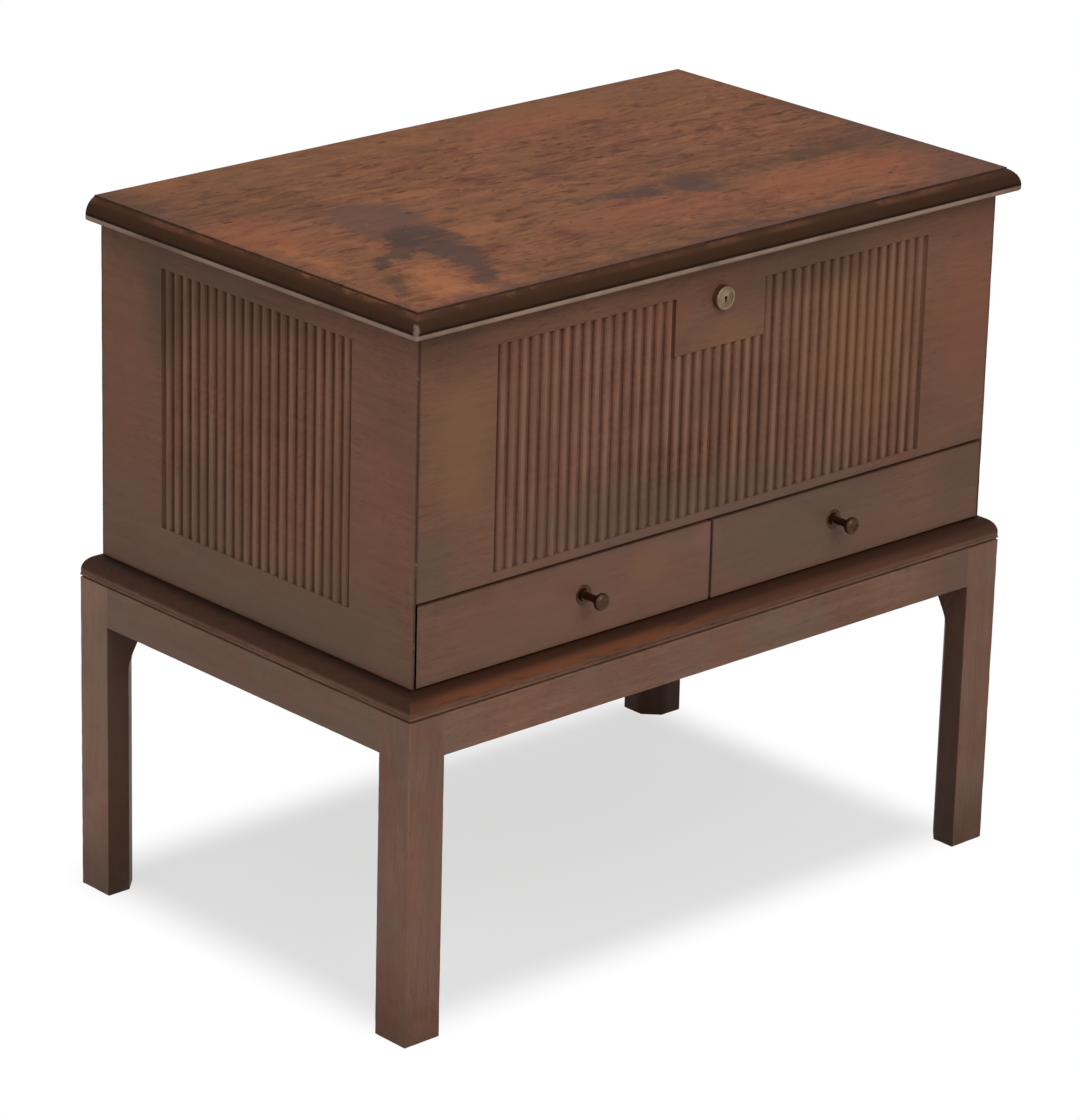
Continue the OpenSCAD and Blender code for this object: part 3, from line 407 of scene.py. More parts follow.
def add_moulding(wood, inset, wander, above):
    """The dark moulding, its crown worn and with a painted highlight, and painted shade at its root and
    step.
    """
    uneven = wood.math("MULTIPLY_ADD", wander, 24 * MM, -12 * MM)
    moulding = wood.fade(wood.math("ADD", inset, uneven), OVOLO + 1 * MM, OVOLO - 2.5 * MM)
    wood.tint(wood.product(moulding, above, 0.9), MOULDING)
    # The crown: worn wood and a painted highlight
    crown = wood.product(wood.fade(inset, 3.5 * MM, 5.5 * MM), wood.fade(inset, 9 * MM, 7 * MM))
    patchy = wood.fade(wood.noise(wood.place, 13.0, 5.0, 0.55), 0.42, 0.62, 0.1, 0.75)
    wood.tint(wood.product(crown, patchy, above), CROWN_WEAR_AND_HIGHLIGHT)
    # Painted shade at the root of the moulding, above the lip
    root = wood.fade(wood.z, lid_low.z + LIP + 3.5 * MM, lid_low.z + LIP + 1.2 * MM)
    wood.tint(wood.product(root, wood.fade(inset, 5 * MM, 3 * MM, 0.0, 0.9)), ROOT_SHADE)
    # Painted shade in the step between the lid's top and the moulding
    step = wood.product(wood.fade(inset, OVOLO - 1.6 * MM, OVOLO - 0.4 * MM),
                        wood.fade(inset, OVOLO + 1.4 * MM, OVOLO + 0.3 * MM), above)
    wood.tint(wood.product(step, wood.fade(wander, 0.42, 0.56, 0.0, 0.75)), STEP_SHADE)


def add_lip(wood, inset):
    """A painted highlight on the upright lip under the moulding, and the near corner, bared by knocks."""
    # Painted highlight along the lip, where it would catch light from the floor
    lip = wood.product(wood.fade(wood.z, lid_low.z + LIP + 0.2 * MM, lid_low.z + LIP - 0.8 * MM),
                       wood.fade(wood.z, lid_low.z + 0.2 * MM, lid_low.z + 1.2 * MM, 0.35, 1.0),
                       wood.fade(inset, 3.2 * MM, 1.5 * MM))
    dulled = wood.fade(wood.noise(wood.place, 11.0, 5.0, 0.6), 0.34, 0.58, 0.55, 0.95)
    wood.tint(wood.product(lip, dulled), LIP_HIGHLIGHT, 0.1)
    corner = wood.spot((lid_low.x, lid_low.y, LID_TOP - 8 * MM), CORNER_SPOT, 0.4, 200.0, 0.3)
    wood.tint(wood.product(corner, 0.6), PALE_CORNER, 0.15)


def add_lid_edges(wood):
    """Colours of the lid's edges, without its back edge, which is plain."""
    inset = lid_inset(wood)
    wander = wood.noise(wood.place, 26.0, 5.0, 0.7)
    above = wood.fade(wood.z, lid_low.z + LIP - 1 * MM, lid_low.z + LIP)
    add_border(wood, inset, wander, above)
    add_moulding(wood, inset, wander, above)
    add_lip(wood, inset)


UNDERSIDE = tone(104, 70, 52)
FLECK = tone(152, 124, 110)
KNOT = tone(120, 96, 84)


def lid_material():
    """The lid: lively grain with small dark flecks, a dark spill, and worn edges."""
    wood = Wood("lid_wood", "X", 1.0, LID_TONES, ring_pitch=0.013, figure=0.5, mottle=0.7)
    wood.hue(OLIVE, 0.4, 9.0)
    fine = wood.noise(wood.vector("MULTIPLY", wood.place, (30.0, 110.0, 30.0)), 1.0, 5.0, 0.72, 0.8)
    marked = wood.fade(wood.z, lid_low.z + 4 * MM, lid_low.z + 8 * MM, 0.15, 1.0)
    under = wood.fade(wood.z, lid_low.z + 2 * MM, lid_low.z + 0.5 * MM, 0.0, 0.55)
    wood.tint(under, UNDERSIDE)
    flecks = wood.product(wood.fade(fine, 0.50, 0.64), marked)
    wood.shade(wood.product(flecks, 0.7), FLECK)
    place = wood.wander(14 * MM, 18.0)
    mottled = wood.fade(fine, 0.30, 0.62, 0.65, 1.15)
    for x0, y0, x1, y1, first, last, soft, colour, strength in LID_STROKES:
        stroke = wood.stroke(place, lid_place(x0, y0), lid_place(x1, y1), first * MM, last * MM, soft)
        share = wood.math("MULTIPLY", wood.product(stroke, strength), mottled, clamp=True)
        wood.tint(share, colour)
    knots = wood.noise(wood.vector("MULTIPLY", wood.place, (55.0, 130.0, 55.0)), 1.0, 2.0, 0.6, 0.4)
    knots = wood.product(wood.fade(knots, 0.66, 0.74), marked)
    wood.shade(wood.product(knots, 0.8), KNOT)
    add_lid_edges(wood)
    return wood.done(LID_GLOSS)


RED = tone(130, 81, 60)
AMBER = tone(138, 96, 64)
PINK = tone(146, 94, 82)
GREY = tone(92, 79, 66)
SOOT_AND_SHADE = tone(70, 54, 42)
COOL = tone(112, 82, 62)
LID_SHADE = tone(190, 182, 176)
FOOT_GREY = tone(104, 84, 70)
GROOVE_DIRT_AND_SHADE = tone(62, 40, 30)
REED_WEAR_AND_HIGHLIGHT = tone(146, 108, 86)
# Patches on the front: place (x, z) and half sizes in mm, colour, and strength. The dark ones
# near the top are partly soot and partly painted shade of the lid
FRONT_PATCHES = [
    (320, 540, 66, 150, RED, 0.6), (-300, 530, 56, 120, AMBER, 0.42), (-330, 430, 60, 70, GREY, 0.6),
    (-322, 626, 80, 50, SOOT_AND_SHADE, 0.4), (-210, 560, 90, 80, RED, 0.2), (180, 530, 130, 130, AMBER, 0.4),
    (-60, 418, 340, 52, GREY, 0.6), (-130, 450, 130, 40, GREY, 0.35), (110, 612, 150, 30, SOOT_AND_SHADE, 0.45),
    (-60, 608, 50, 30, RED, 0.5), (10, 574, 60, 24, AMBER, 0.35),
    (-150, 366, 250, 90, PINK, 0.3), (-70, 376, 46, 34, AMBER, 0.5), (-8, 388, 22, 30, PINK, 0.6),
    (110, 372, 190, 60, GREY, 0.55), (230, 356, 80, 20, RED, 0.3), (320, 380, 70, 50, SOOT_AND_SHADE, 0.3),
]
# The same on the left side: place (y, z); here too the dark ones near the top are partly painted
# shade of the lid
SIDE_PATCHES = [
    (90, 610, 150, 50, SOOT_AND_SHADE, 0.35), (-30, 620, 130, 34, SOOT_AND_SHADE, 0.2), (136, 580, 40, 70, SOOT_AND_SHADE, 0.5),
    (-160, 500, 60, 70, RED, 0.4), (185, 500, 44, 110, RED, 0.35), (-150, 440, 60, 60, RED, 0.3),
    (60, 420, 70, 90, GREY, 0.4), (0, 345, 280, 44, GREY, 0.5),
]


def add_patch(wood, centre, half_sizes, colour, strength):
    """A soft patch that old polish and use have left; the dark ones near the top are partly painted shade
    of the lid.
    """
    patch = wood.spot(centre, half_sizes, 0.25, 14.0, 0.1)
    wood.tint(wood.product(patch, strength), colour)


def front_face(wood):
    """The patches on the front of the chest. They reach well through the board."""
    for x_mm, z_mm, half_x, half_z, colour, strength in FRONT_PATCHES:
        centre = (x_mm * MM, FACE_Y, z_mm * MM)
        add_patch(wood, centre, (half_x * MM, 1.0, half_z * MM), colour, strength)


def left_face(wood):
    """The patches on the left side of the chest."""
    for y_mm, z_mm, half_y, half_z, colour, strength in SIDE_PATCHES:
        centre = (CASE_LEFT, y_mm * MM, z_mm * MM)
        add_patch(wood, centre, (1.0, half_y * MM, half_z * MM), colour, strength)


def add_reeding(wood, depth):
    """Grime and painted shade in the grooves of the reeding, and worn crowns with a painted highlight.
    Depth is under the board's face.
    """
    # Painted shade and grime in the grooves
    groove = wood.product(wood.fade(depth, 1.6 * MM, 3.8 * MM), wood.fade(depth, 9 * MM, 7 * MM))
    patchy = wood.fade(wood.noise(wood.vector("MULTIPLY", wood.place, (60.0, 60.0, 9.0)),
                                  1.0, 3.0, 0.6), 0.35, 0.65, 0.0, 0.4)
    wood.tint(wood.product(groove, patchy), GROOVE_DIRT_AND_SHADE, 0.12)
    # Worn crowns with a painted highlight
    crown = wood.product(wood.fade(depth, 0.15 * MM, 0.28 * MM), wood.fade(depth, 1.5 * MM, 0.6 * MM))
    rub_and_sheen = wood.fade(wood.noise(wood.vector("MULTIPLY", wood.place, (70.0, 70.0, 7.0)),
                                  1.0, 3.0, 0.6), 0.4, 0.62, 0.1, 0.55)
    wood.tint(wood.product(crown, rub_and_sheen), REED_WEAR_AND_HIGHLIGHT)


def add_corner_wear(wood):
    """Grime and small pale nicks along the upright corners of the chest."""
    off_x = wood.math("SUBTRACT", CASE_RIGHT, wood.math("ABSOLUTE", wood.x))
    off_y = wood.math("ABSOLUTE", wood.math("SUBTRACT", wood.y, CENTRE_Y))
    corner = wood.math("MAXIMUM", off_x, wood.math("SUBTRACT", CENTRE_Y - FACE_Y, off_y))
    add_grime(wood, wood.fade(corner, 3.2 * MM, 0.6 * MM), 0.75)
    nicks = wood.fade(wood.noise(wood.place, 150.0, 1.0, 0.5), 0.68, 0.74)
    wood.tint(wood.product(nicks, wood.fade(corner, 2.5 * MM, 0.8 * MM, 0.0, 0.7)), PALE_WEAR, 0.1)


def case_material(node, grain, seed):
    """A board of the chest, or a drawer front."""
    wood = Wood(node, grain, seed, CASE_TONES, figure=0.5, mottle=0.25)
    wood.hue(COOL, 0.5)
    if node == "front_panel":
        add_reeding(wood, wood.math("SUBTRACT", wood.y, FACE_Y))
    if node == "side_left":
        add_reeding(wood, wood.math("SUBTRACT", wood.x, CASE_LEFT))
        left_face(wood)
    if node == "side_right":
        add_reeding(wood, wood.math("SUBTRACT", CASE_RIGHT, wood.x))
    if node in ("front_panel", "drawer_left_front", "drawer_right_front"):
        front_face(wood)
    # Painted shade of the lid over the top of each board, and greyer towards the foot
    lid_shade_share = 0.15 if node.startswith("side") else 0.5
    wood.shade(wood.product(wood.fade(wood.z, CASE_TOP - 60 * MM, CASE_TOP), lid_shade_share), LID_SHADE)
    wood.tint(wood.product(wood.fade(wood.z, CASE_FOOT + 130 * MM, CASE_FOOT), 0.4), FOOT_GREY)
    low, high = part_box(node)
    add_grime(wood, wood.fade(wood.edge_distance(low, high), 5 * MM, 0.5 * MM), 0.12)
    add_corner_wear(wood)
    return wood.done(BOARD_GLOSS)


# Painted shade for the faces under the stand
INSIDE_SHADE = tone(158, 146, 136)
STAND_COOL = tone(112, 90, 76)
STAND_WARM = tone(130, 82, 60)
LEG_RED = tone(118, 68, 52)
# The left apron, the right end of the front one, and the leg at the back left
APRON_GREY = tone(98, 84, 72)
APRON_END = tone(90, 70, 60)
FADED_LEG = tone(154, 128, 108)


def paint_shade_under_stand(wood, node):
    """Painted shade on the faces of a leg that look under the stand, below the aprons."""
    low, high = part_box(node)
    near_x = min(abs(low.x), abs(high.x))
    near_y = min(abs(low.y - CENTRE_Y), abs(high.y - CENTRE_Y))
    off_x = wood.math("ABSOLUTE", wood.x)
    off_y = wood.math("ABSOLUTE", wood.math("SUBTRACT", wood.y, CENTRE_Y))
    inner_x = wood.fade(off_x, near_x + 1.2 * MM, near_x + 0.4 * MM)
    inner_y = wood.fade(off_y, near_y + 1.2 * MM, near_y + 0.4 * MM)
    cut = wood.math("ADD", wood.math("SUBTRACT", off_x, near_x), wood.math("SUBTRACT", off_y, near_y))
    inner = wood.math("MAXIMUM", wood.math("MAXIMUM", inner_x, inner_y),
                      wood.fade(cut, 18 * MM, 16.5 * MM))
    free = wood.fade(wood.z, APRON_FOOT + 1 * MM, APRON_FOOT, 0.0, 0.9)
    wood.shade(wood.product(inner, free), INSIDE_SHADE)


def stand_material(node, grain, seed):
    """A leg or an apron."""
    wood = Wood(node, grain, seed, STAND_TONES, figure=0.55, mottle=0.25)
    wood.hue(STAND_COOL, 0.5, 5.0)
    wood.hue(STAND_WARM, 0.35, 11.0)
    if node == "apron_left":
        wood.tint(0.35, APRON_GREY)
    if node == "leg_back_left":
        wood.tint(0.3, FADED_LEG)
    if node == "apron_front":
        wood.tint(wood.fade(wood.x, 220 * MM, 310 * MM, 0.0, 0.5), APRON_END)
    add_edge_wear(wood, node, grain, 0.3)
    if node.startswith("leg"):
        wood.hue(LEG_RED, 0.3, 16.0)
        add_grime(wood, wood.fade(wood.z, 90 * MM, 0.0), 0.5)
        paint_shade_under_stand(wood, node)
    return wood.done(BOARD_GLOSS)


LEDGE_SHADE = tone(200, 190, 184)
LEDGE_TOP = {"X": tone(76, 46, 31), "Y": tone(50, 30, 20)}
LEDGE_RUB_AND_SHEEN = tone(124, 73, 46)
LEDGE_END = tone(70, 49, 40)
# Height of the top frame's upright band, and how far out from the chest it is worn and has a
# painted sheen
LEDGE_BAND = 7 * MM
RUB_AND_SHEEN_OUT = 13 * MM
# Painted shade in a strip beside the chest, by the way the grain runs: how far out it is full,
# how far out it ends, and its colour
SHADE_BESIDE_CHEST = {"X": (7 * MM, 14 * MM, tone(48, 26, 15)), "Y": (0.5 * MM, 15 * MM, tone(32, 18, 11))}


def ledge_material(node, grain, seed):
    """The moulded top frame: dark above its upright band, orange where it is worn and a sheen is painted,
    and painted shade beside the chest.
    """
    wood = Wood(node, grain, seed, STAND_TONES, figure=0.8, mottle=0.5)
    wood.shade(0.7, LEDGE_SHADE)
    top = wood.fade(wood.z, ledge_low.z + LEDGE_BAND - 1 * MM, ledge_low.z + LEDGE_BAND + 3 * MM)
    wood.tint(wood.product(top, 0.85), LEDGE_TOP[grain])
    joint = wood.fade(wood.z, ledge_low.z + 1.8 * MM, ledge_low.z + 0.8 * MM)
    add_grime(wood, joint, 0.9)
    past_end = wood.math("SUBTRACT", wood.math("ABSOLUTE", wood.x), CASE_RIGHT)
    off_middle = wood.math("ABSOLUTE", wood.math("SUBTRACT", wood.y, CENTRE_Y))
    past_front = wood.math("SUBTRACT", off_middle, CENTRE_Y - FACE_Y)
    past = wood.math("MAXIMUM", past_end, past_front)
    streaks = wood.noise(wood.vector("MULTIPLY", wood.place, (7.0, 45.0, 45.0)), 1.0, 5.0, 0.7, 0.4)
    uneven = wood.math("MULTIPLY_ADD", streaks, 60 * MM, -30 * MM)
    off_band = wood.math("ABSOLUTE", wood.math("ADD", wood.math("SUBTRACT", past, RUB_AND_SHEEN_OUT), uneven))
    # Orange band of worn wood and painted sheen
    rub_and_sheen = wood.product(wood.fade(off_band, 10 * MM, 2 * MM),
                          wood.fade(wood.x, STAND_LEFT + 10 * MM, STAND_LEFT + 50 * MM, 0.3, 1.0),
                          wood.fade(wood.x, -100 * MM, 60 * MM, 1.0, 0.25))
    dull = 0.25 if grain == "Y" else 0.7
    wood.tint(wood.product(rub_and_sheen, top, dull), LEDGE_RUB_AND_SHEEN)
    if grain == "X":
        right_end = wood.product(wood.fade(wood.x, 180 * MM, 330 * MM, 0.0, 0.6), top)
        wood.tint(right_end, LEDGE_END)
    # Painted shade on the frame where it meets the chest
    full, end, dark = SHADE_BESIDE_CHEST[grain]
    beside = wood.fade(past, end, full)
    wood.tint(wood.product(beside, top, 0.9), dark)
    return wood.done(LEDGE_GLOSS)


LINING_TONES = [(0.2, tone(140, 104, 72)), (0.5, tone(178, 142, 104)), (0.8, tone(200, 168, 128))]


def lining_material(grain):
    """The paler wood of the drawers and of the pieces inside the chest."""
    wood = Wood("lining_wood_" + grain.lower(), grain, 5.0, LINING_TONES, ring_pitch=0.006, figure=0.8)
    add_grime(wood, wood.fade(wood.noise(wood.place, 5.0, 3.0, 0.6), 0.5, 0.7), 0.35)
    return wood.done(LINING_GLOSS)


def metal_material(name, clean, tarnish, spread, roughness):
    """Metal with tarnish in soft patches. Spread says how far it goes; roughness is the clean metal's."""
    tree = Tree(name)
    soft = tree.noise(tree.place, 70.0, 3.0, 0.6, 0.4)
    brushed = tree.noise(tree.vector("MULTIPLY", tree.place, (60.0, 900.0, 900.0)), 1.0, 2.0, 0.5)
    pits = tree.fade(tree.noise(tree.place, 420.0, 2.0, 0.5), 0.62, 0.72)
    old = tree.fade(tree.math("MULTIPLY_ADD", brushed, 0.15, soft), 0.95 - spread, 0.35)
    old = tree.math("MAXIMUM", old, tree.product(pits, 0.5))
    tree.shader.inputs["Metallic"].default_value = 1.0
    height = tree.math("MULTIPLY_ADD", pits, -1.0, tree.product(brushed, 0.5))
    tree.bump(height, 0.2, 0.03 * MM)
    return tree.finish(tree.blend(old, clean, tarnish), tree.math("MULTIPLY_ADD", old, 0.18, roughness))


# Clean colour, tarnish, its share, and roughness where it is clean
METALS = {
    "brass": metal_material("brass", tone(150, 126, 102), tone(120, 94, 70), 0.20, 0.42),
    "dark_brass": metal_material("dark_brass", tone(80, 56, 42), tone(36, 23, 16), 0.38, 0.42),
    "steel": metal_material("steel", tone(134, 132, 130), tone(92, 84, 78), 0.20, 0.38),
}
LININGS = {grain: lining_material(grain) for grain in "XY"}


# Boards

# An edge that folds by more than SHARP is rounded, and one that folds by less than
# SMOOTH_UNDER shades smoothly. Faces that meet at less than FLAT become one face
SHARP = math.radians(30)
SMOOTH_UNDER = math.radians(40)
FLAT = math.radians(1)
# Distance between the points along a worn edge
DENT_STEP = 9 * MM
# Points closer than this are one point
SAME_POINT = 0.001 * MM
# How far off the box, or off the lid's mitre, an edge may lie and still count as lying on it
ON_BOX = 0.02 * MM
ON_MITRE = 0.05 * MM


def on_box_edge(edge, low, high):
    """True if both ends of an edge lie on the same edge line of the box."""
    shared = 0
    for axis in range(3):
        ends = [v.co[axis] for v in edge.verts]
        if any(all(abs(end - limit) < ON_BOX for end in ends) for limit in (low[axis], high[axis])):
            shared += 1
    return shared >= 2


def sharp_edges(bm, chosen):
    """The sharp outward edges among the chosen ones."""
    return [e for e in bm.edges
            if len(e.link_faces) == 2 and e.is_convex and e.calc_face_angle() > SHARP and chosen(e)]


def round_edges(bm, chosen, width, dent):
    """Rounds the chosen outward edges, and dents the rounding here and there."""
    edges = sharp_edges(bm, chosen)
    for edge in edges:
        cuts = int(edge.calc_length() / DENT_STEP)
        if cuts:
            bmesh.ops.subdivide_edges(bm, edges=[edge], cuts=cuts)
    edges = sharp_edges(bm, chosen)
    if not edges:
        return
    made = bmesh.ops.bevel(bm, geom=edges, offset=width, segments=3, profile=0.5,
                           affect="EDGES", clamp_overlap=False)
    fresh = set(made["faces"])
    bm.normal_update()
    for vert in {v for face in fresh for v in face.verts}:
        if all(face in fresh for face in vert.link_faces):
            hollow = noise.noise(vert.co * 60) + 0.6 * noise.noise(vert.co * 210)
            vert.co -= vert.normal * dent * max(0, hollow)


def worn_copy(node, rounds):
    """A board with its edges worn: rounds lists (which edges, width, depth of dents)."""
    bm = bmesh.new()
    bm.from_mesh(nodes[node].data)
    bmesh.ops.remove_doubles(bm, verts=bm.verts, dist=SAME_POINT)
    bmesh.ops.dissolve_limit(bm, angle_limit=FLAT, verts=bm.verts, edges=bm.edges)
    for chosen, width, dent in rounds:
        round_edges(bm, chosen, width, dent)
    mesh = bpy.data.meshes.new("worn_" + node)
    bm.to_mesh(mesh)
    bm.free()
    mesh.shade_smooth()
    mesh.set_sharp_from_angle(angle=SMOOTH_UNDER)
    board = bpy.data.objects.new("worn_" + node, mesh)
    bpy.context.scene.collection.objects.link(board)
    weighted = board.modifiers.new("normals", "WEIGHTED_NORMAL")
    weighted.keep_sharp = True
    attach(board, nodes[node]["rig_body"])
    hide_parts(node)
    return board


def box_edges(node):
    """All the edges of a board that lie on the edges of its box."""
    low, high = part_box(node)
    return lambda edge: on_box_edge(edge, low, high)


def long_edges(node, grain):
    """The box edges that run along the grain, without those at the ends of the board."""
    low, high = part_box(node)
    axis = "XYZ".index(grain)

    def chosen(edge):
        a, b = (v.co for v in edge.verts)
        along = abs(a[axis] - b[axis]) > 0.99 * (a - b).length
        return along and on_box_edge(edge, low, high)
    return chosen


def leg_edges(node):
    """The box edges of a leg that are free: the outer corner, and the others under the aprons."""
    low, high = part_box(node)
    outer_x = low.x if low.x < 0 else high.x
    outer_y = low.y if low.y < CENTRE_Y else high.y

    def chosen(edge):
        middle = (edge.verts[0].co + edge.verts[1].co) / 2
        corner = abs(middle.x - outer_x) + abs(middle.y - outer_y) < 0.1 * MM
        return (corner or middle.z < APRON_FOOT) and on_box_edge(edge, low, high)
    return chosen


def plain_board(node, material, width=0.7 * MM, dent=0.35 * MM, edges=None):
    """A board whose chosen edges, or else all its box edges, are worn alike."""
    board = worn_copy(node, [(edges or box_edges(node), width, dent)])
    board.data.materials.append(material)


def make_case():
    """The boards of the chest, with the seed of each one's grain."""
    for node, grain, seed in (("side_left", "Y", 2.0), ("side_right", "Y", 3.0),
                              ("front_panel", "X", 4.0), ("back_panel", "X", 6.0),
                              ("drawer_left_front", "X", 7.0), ("drawer_right_front", "X", 8.0),
                              ("drawer_divider", "Z", 9.0)):
        plain_board(node, case_material(node, grain, seed))


def make_lid():
    """The lid's moulding is rounded at its step and at its mitred corners."""
    low, high = lid_low, lid_high

    def outline(edge):
        return all(v.co.z > high.z - ON_BOX for v in edge.verts)

    def corner(edge):
        points = [v.co for v in edge.verts]
        sloping = abs(points[0].x - points[1].x) > 0.01 * MM or abs(points[0].z - points[1].z) > 0.01 * MM
        return sloping and all(
            abs((p.x - low.x) - (p.y - low.y)) < ON_MITRE
            or abs((high.x - p.x) - (p.y - low.y)) < ON_MITRE for p in points)

    lid = worn_copy("lid_board", [(corner, 0.5 * MM, 0.2 * MM), (outline, 0.4 * MM, 0.2 * MM)])
    lid.data.materials.append(lid_material())


def make_stand():
    """Legs, aprons and the moulded top frame, with the seed of each one's grain."""
    for node, seed in (("leg_front_left", 11.0), ("leg_front_right", 12.0),
                       ("leg_back_left", 13.0), ("leg_back_right", 14.0)):
        plain_board(node, stand_material(node, "Z", seed), 0.9 * MM, 0.45 * MM, leg_edges(node))
    for node, grain, seed in (("apron_front", "X", 15.0), ("apron_back", "X", 16.0),
                              ("apron_left", "Y", 17.0), ("apron_right", "Y", 18.0)):
        plain_board(node, stand_material(node, grain, seed), edges=long_edges(node, grain))
    for node, grain, seed in (("stand_top_front", "X", 19.0), ("stand_top_back", "X", 20.0),
                              ("stand_top_left", "Y", 21.0), ("stand_top_right", "Y", 22.0)):
        board = worn_copy(node, [])
        board.data.materials.append(ledge_material(node, grain, seed))


def soften(node, width):
    """Eases the sharp edges of a piece that keeps its own shape."""
    weld = node.modifiers.new("weld", "WELD")
    weld.merge_threshold = SAME_POINT
    ease = node.modifiers.new("ease", "BEVEL")
    ease.width = width
    ease.segments = 2
    ease.limit_method = "ANGLE"
    ease.angle_limit = SHARP
    ease.harden_normals = True


def dress_the_rest():
    """The linings and the metal get their finish, and the linings' sharp edges are eased."""
    for name, node in nodes.items():
        if node.hide_render:
            continue
        slot = SLOTS[name]
        if slot in METALS:
            node.data.materials[0] = METALS[slot]
            continue
        node.data.materials[0] = LININGS["Y" if name.endswith("_side") else "X"]
        soften(node, 0.5 * MM)


make_case()
make_lid()
make_stand()
dress_the_rest()


# Camera and light

# The camera looks down from the front left, turned a little about its own axis
CAMERA_PLACE = Vector((-2.996, -3.2186 + CENTRE_Y, 1.9341))
CAMERA_AZIMUTH = math.radians(-42.87)
CAMERA_HEIGHT = math.radians(20.37)
CAMERA_ROLL = math.radians(1.50)
CAMERA_LENS = 163.2
CAMERA_REACH = 50


def make_camera():
    """The camera, at the place and the angles given above."""
    az, el, roll = CAMERA_AZIMUTH, CAMERA_HEIGHT, CAMERA_ROLL
    back = Vector((math.sin(az) * math.cos(el), -math.cos(az) * math.cos(el), math.sin(el)))
    right = Vector((math.cos(az), math.sin(az), 0))
    up = back.cross(right)
    turned_right = math.cos(roll) * right + math.sin(roll) * up
    turned_up = -math.sin(roll) * right + math.cos(roll) * up
    camera = bpy.data.objects.new("camera", bpy.data.cameras.new("camera"))
    camera.data.lens = CAMERA_LENS
    camera.data.sensor_fit = "AUTO"
    camera.data.clip_end = CAMERA_REACH
    turn = Matrix((turned_right, turned_up, back)).transposed().to_4x4()
    camera.matrix_world = Matrix.Translation(CAMERA_PLACE) @ turn
    bpy.context.scene.collection.objects.link(camera)
    bpy.context.scene.camera = camera


# Name, place, side of its square, and watts
LAMPS = [("overhead", (0.0, 0.1, 3.4), 0.9, 25), ("front", (-0.6, -2.9, 2.7), 2.4, 63),
         ("left", (-3.0, -0.5, 2.6), 2.4, 29)]
LAMP_TARGET = (0, 0, 0.4)


def area_lamp(name, place, side, watts):
    """A square lamp that looks at the middle of the object."""
    data = bpy.data.lights.new(name, "AREA")
    data.shape = "RECTANGLE"
    data.size = side
    data.size_y = side
    data.energy = watts
    lamp = bpy.data.objects.new(name, data)
    lamp.location = place
    aim = Vector(LAMP_TARGET) - Vector(place)
    lamp.rotation_euler = aim.to_track_quat("-Z", "Y").to_euler()
    bpy.context.scene.collection.objects.link(lamp)


# The soft light goes from its low to its high strength between these two heights of the sky
SKY_START = 0.1
SKY_END = 0.8
SKY_LOW = 0.10
SKY_HIGH = 0.7


def seen_directly(tree):
    """1 where the camera, a gloss or a glass looks at the thing itself, 0 for soft light."""
    path = tree.nodes.new("ShaderNodeLightPath")
    seen = None
    for name in ("Is Camera Ray", "Is Glossy Ray", "Is Transmission Ray"):
        if seen is None:
            seen = path.outputs[name]
            continue
        both = tree.nodes.new("ShaderNodeMath")
        both.operation = "MAXIMUM"
        tree.links.new(seen, both.inputs[0])
        tree.links.new(path.outputs[name], both.inputs[1])
        seen = both.outputs[0]
    return seen


def make_world():
    """Soft light from above, and plain white where the camera or a gloss looks into it."""
    world = bpy.data.worlds.new("studio")
    bpy.context.scene.world = world
    world.use_nodes = True
    tree = world.node_tree
    tree.nodes.clear()
    direction = tree.nodes.new("ShaderNodeTexCoord")
    height = tree.nodes.new("ShaderNodeSeparateXYZ")
    tree.links.new(direction.outputs["Generated"], height.inputs[0])
    sky = tree.nodes.new("ShaderNodeMapRange")
    sky.interpolation_type = "SMOOTHSTEP"
    for name, number in (("From Min", SKY_START), ("From Max", SKY_END),
                         ("To Min", SKY_LOW), ("To Max", SKY_HIGH)):
        sky.inputs[name].default_value = number
    tree.links.new(height.outputs["Z"], sky.inputs["Value"])
    soft = tree.nodes.new("ShaderNodeBackground")
    tree.links.new(sky.outputs[0], soft.inputs["Strength"])
    white = tree.nodes.new("ShaderNodeBackground")
    white.inputs["Strength"].default_value = 1.0
    mix = tree.nodes.new("ShaderNodeMixShader")
    tree.links.new(seen_directly(tree), mix.inputs["Fac"])
    tree.links.new(soft.outputs[0], mix.inputs[1])
    tree.links.new(white.outputs[0], mix.inputs[2])
    out = tree.nodes.new("ShaderNodeOutputWorld")
    tree.links.new(mix.outputs[0], out.inputs["Surface"])


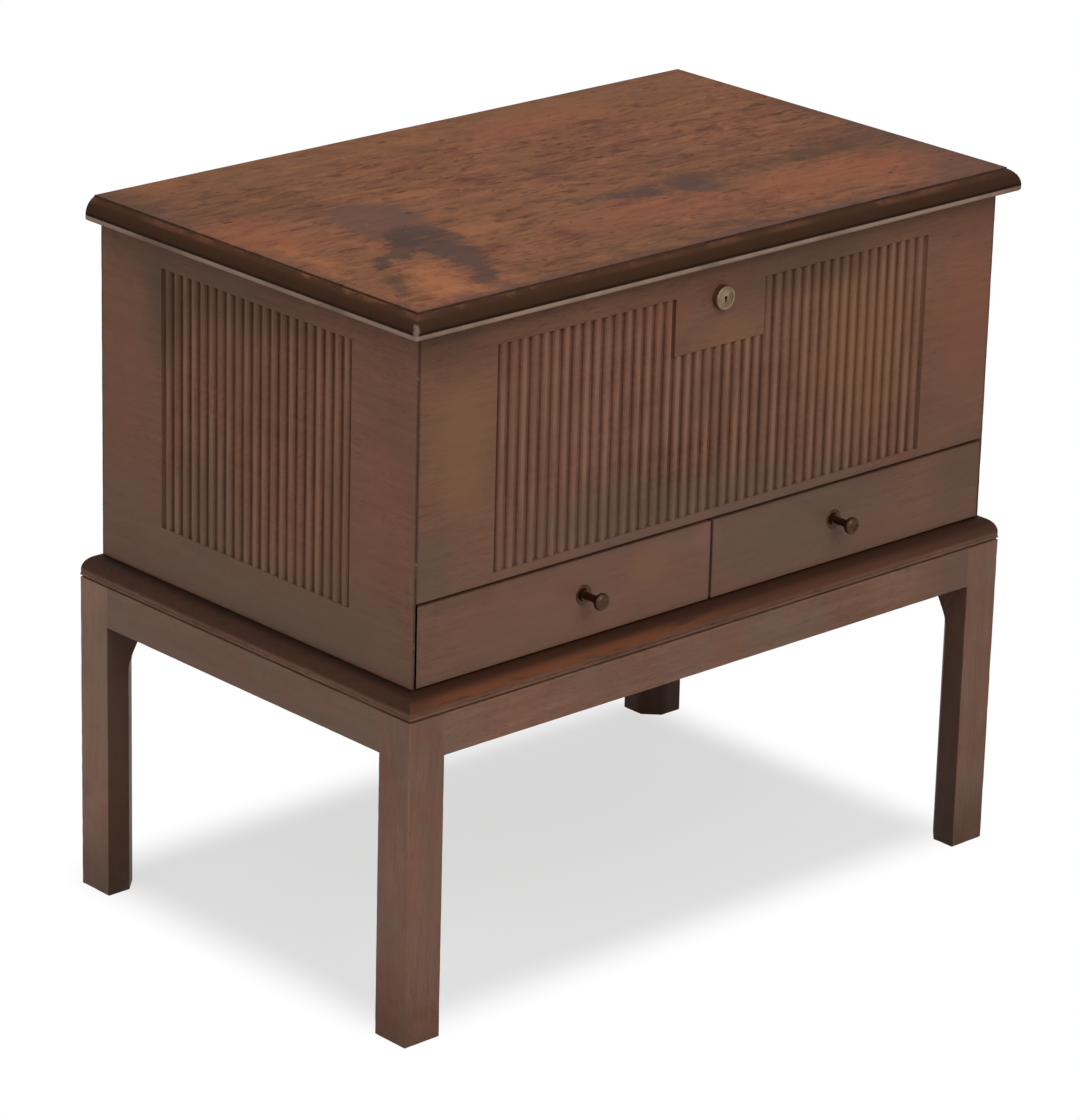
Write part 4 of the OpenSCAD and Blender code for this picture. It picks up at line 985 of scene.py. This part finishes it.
# Half the floor's side, its colour, the share of white in its shadow, and the shadow's soft rim
FLOOR_REACH = 12
FLOOR_COLOUR = (0.55, 0.55, 0.555, 1)
FLOOR_GLOW = 0.62
FLOOR_FADE = 80 * MM
# The shadow on the floor, partly real and partly painted by this rectangle: its middle, and half
# its full-strength length and depth
SHADOW_Y = 31 * MM
SHADOW_X_HALF = 310 * MM
SHADOW_Y_HALF = 184 * MM


def make_floor():
    """White studio floor: a pale shadow near the object, partly real and partly painted in the footprint's
    shape, and plain white beyond.
    """
    size = FLOOR_REACH
    mesh = bpy.data.meshes.new("floor")
    mesh.from_pydata([(-size, -size, 0), (size, -size, 0), (size, size, 0), (-size, size, 0)],
                     [], [(0, 1, 2, 3)])
    floor = bpy.data.objects.new("floor", mesh)
    bpy.context.scene.collection.objects.link(floor)
    tree = Tree("floor")
    tree.shader.inputs["Base Color"].default_value = FLOOR_COLOUR
    tree.shader.inputs["Roughness"].default_value = 0.9
    tree.shader.inputs["Specular IOR Level"].default_value = 0.0
    past_end = tree.math("SUBTRACT", tree.math("ABSOLUTE", tree.x), SHADOW_X_HALF)
    off_middle = tree.math("ABSOLUTE", tree.math("SUBTRACT", tree.y, SHADOW_Y))
    past_front = tree.math("SUBTRACT", off_middle, SHADOW_Y_HALF)
    past = tree.join(tree.math("MAXIMUM", past_end, 0.0), tree.math("MAXIMUM", past_front, 0.0), 0.0)
    # Painted shadow: less white inside the rectangle, so that the lit floor and its real shadow show there
    glow = tree.fade(tree.vector("LENGTH", past), 0.0, FLOOR_FADE, FLOOR_GLOW, 1.0)
    share = tree.product(glow, seen_directly(tree.material.node_tree))
    white = tree.nodes.new("ShaderNodeEmission")
    mix = tree.nodes.new("ShaderNodeMixShader")
    tree.links.new(share, mix.inputs["Fac"])
    tree.links.new(tree.shader.outputs[0], mix.inputs[1])
    tree.links.new(white.outputs[0], mix.inputs[2])
    tree.links.new(mix.outputs[0], tree.nodes["Material Output"].inputs["Surface"])
    floor.data.materials.append(tree.material)


make_camera()
make_world()
make_floor()
for lamp in LAMPS:
    area_lamp(*lamp)

bpy.context.scene.view_settings.view_transform = "Standard"
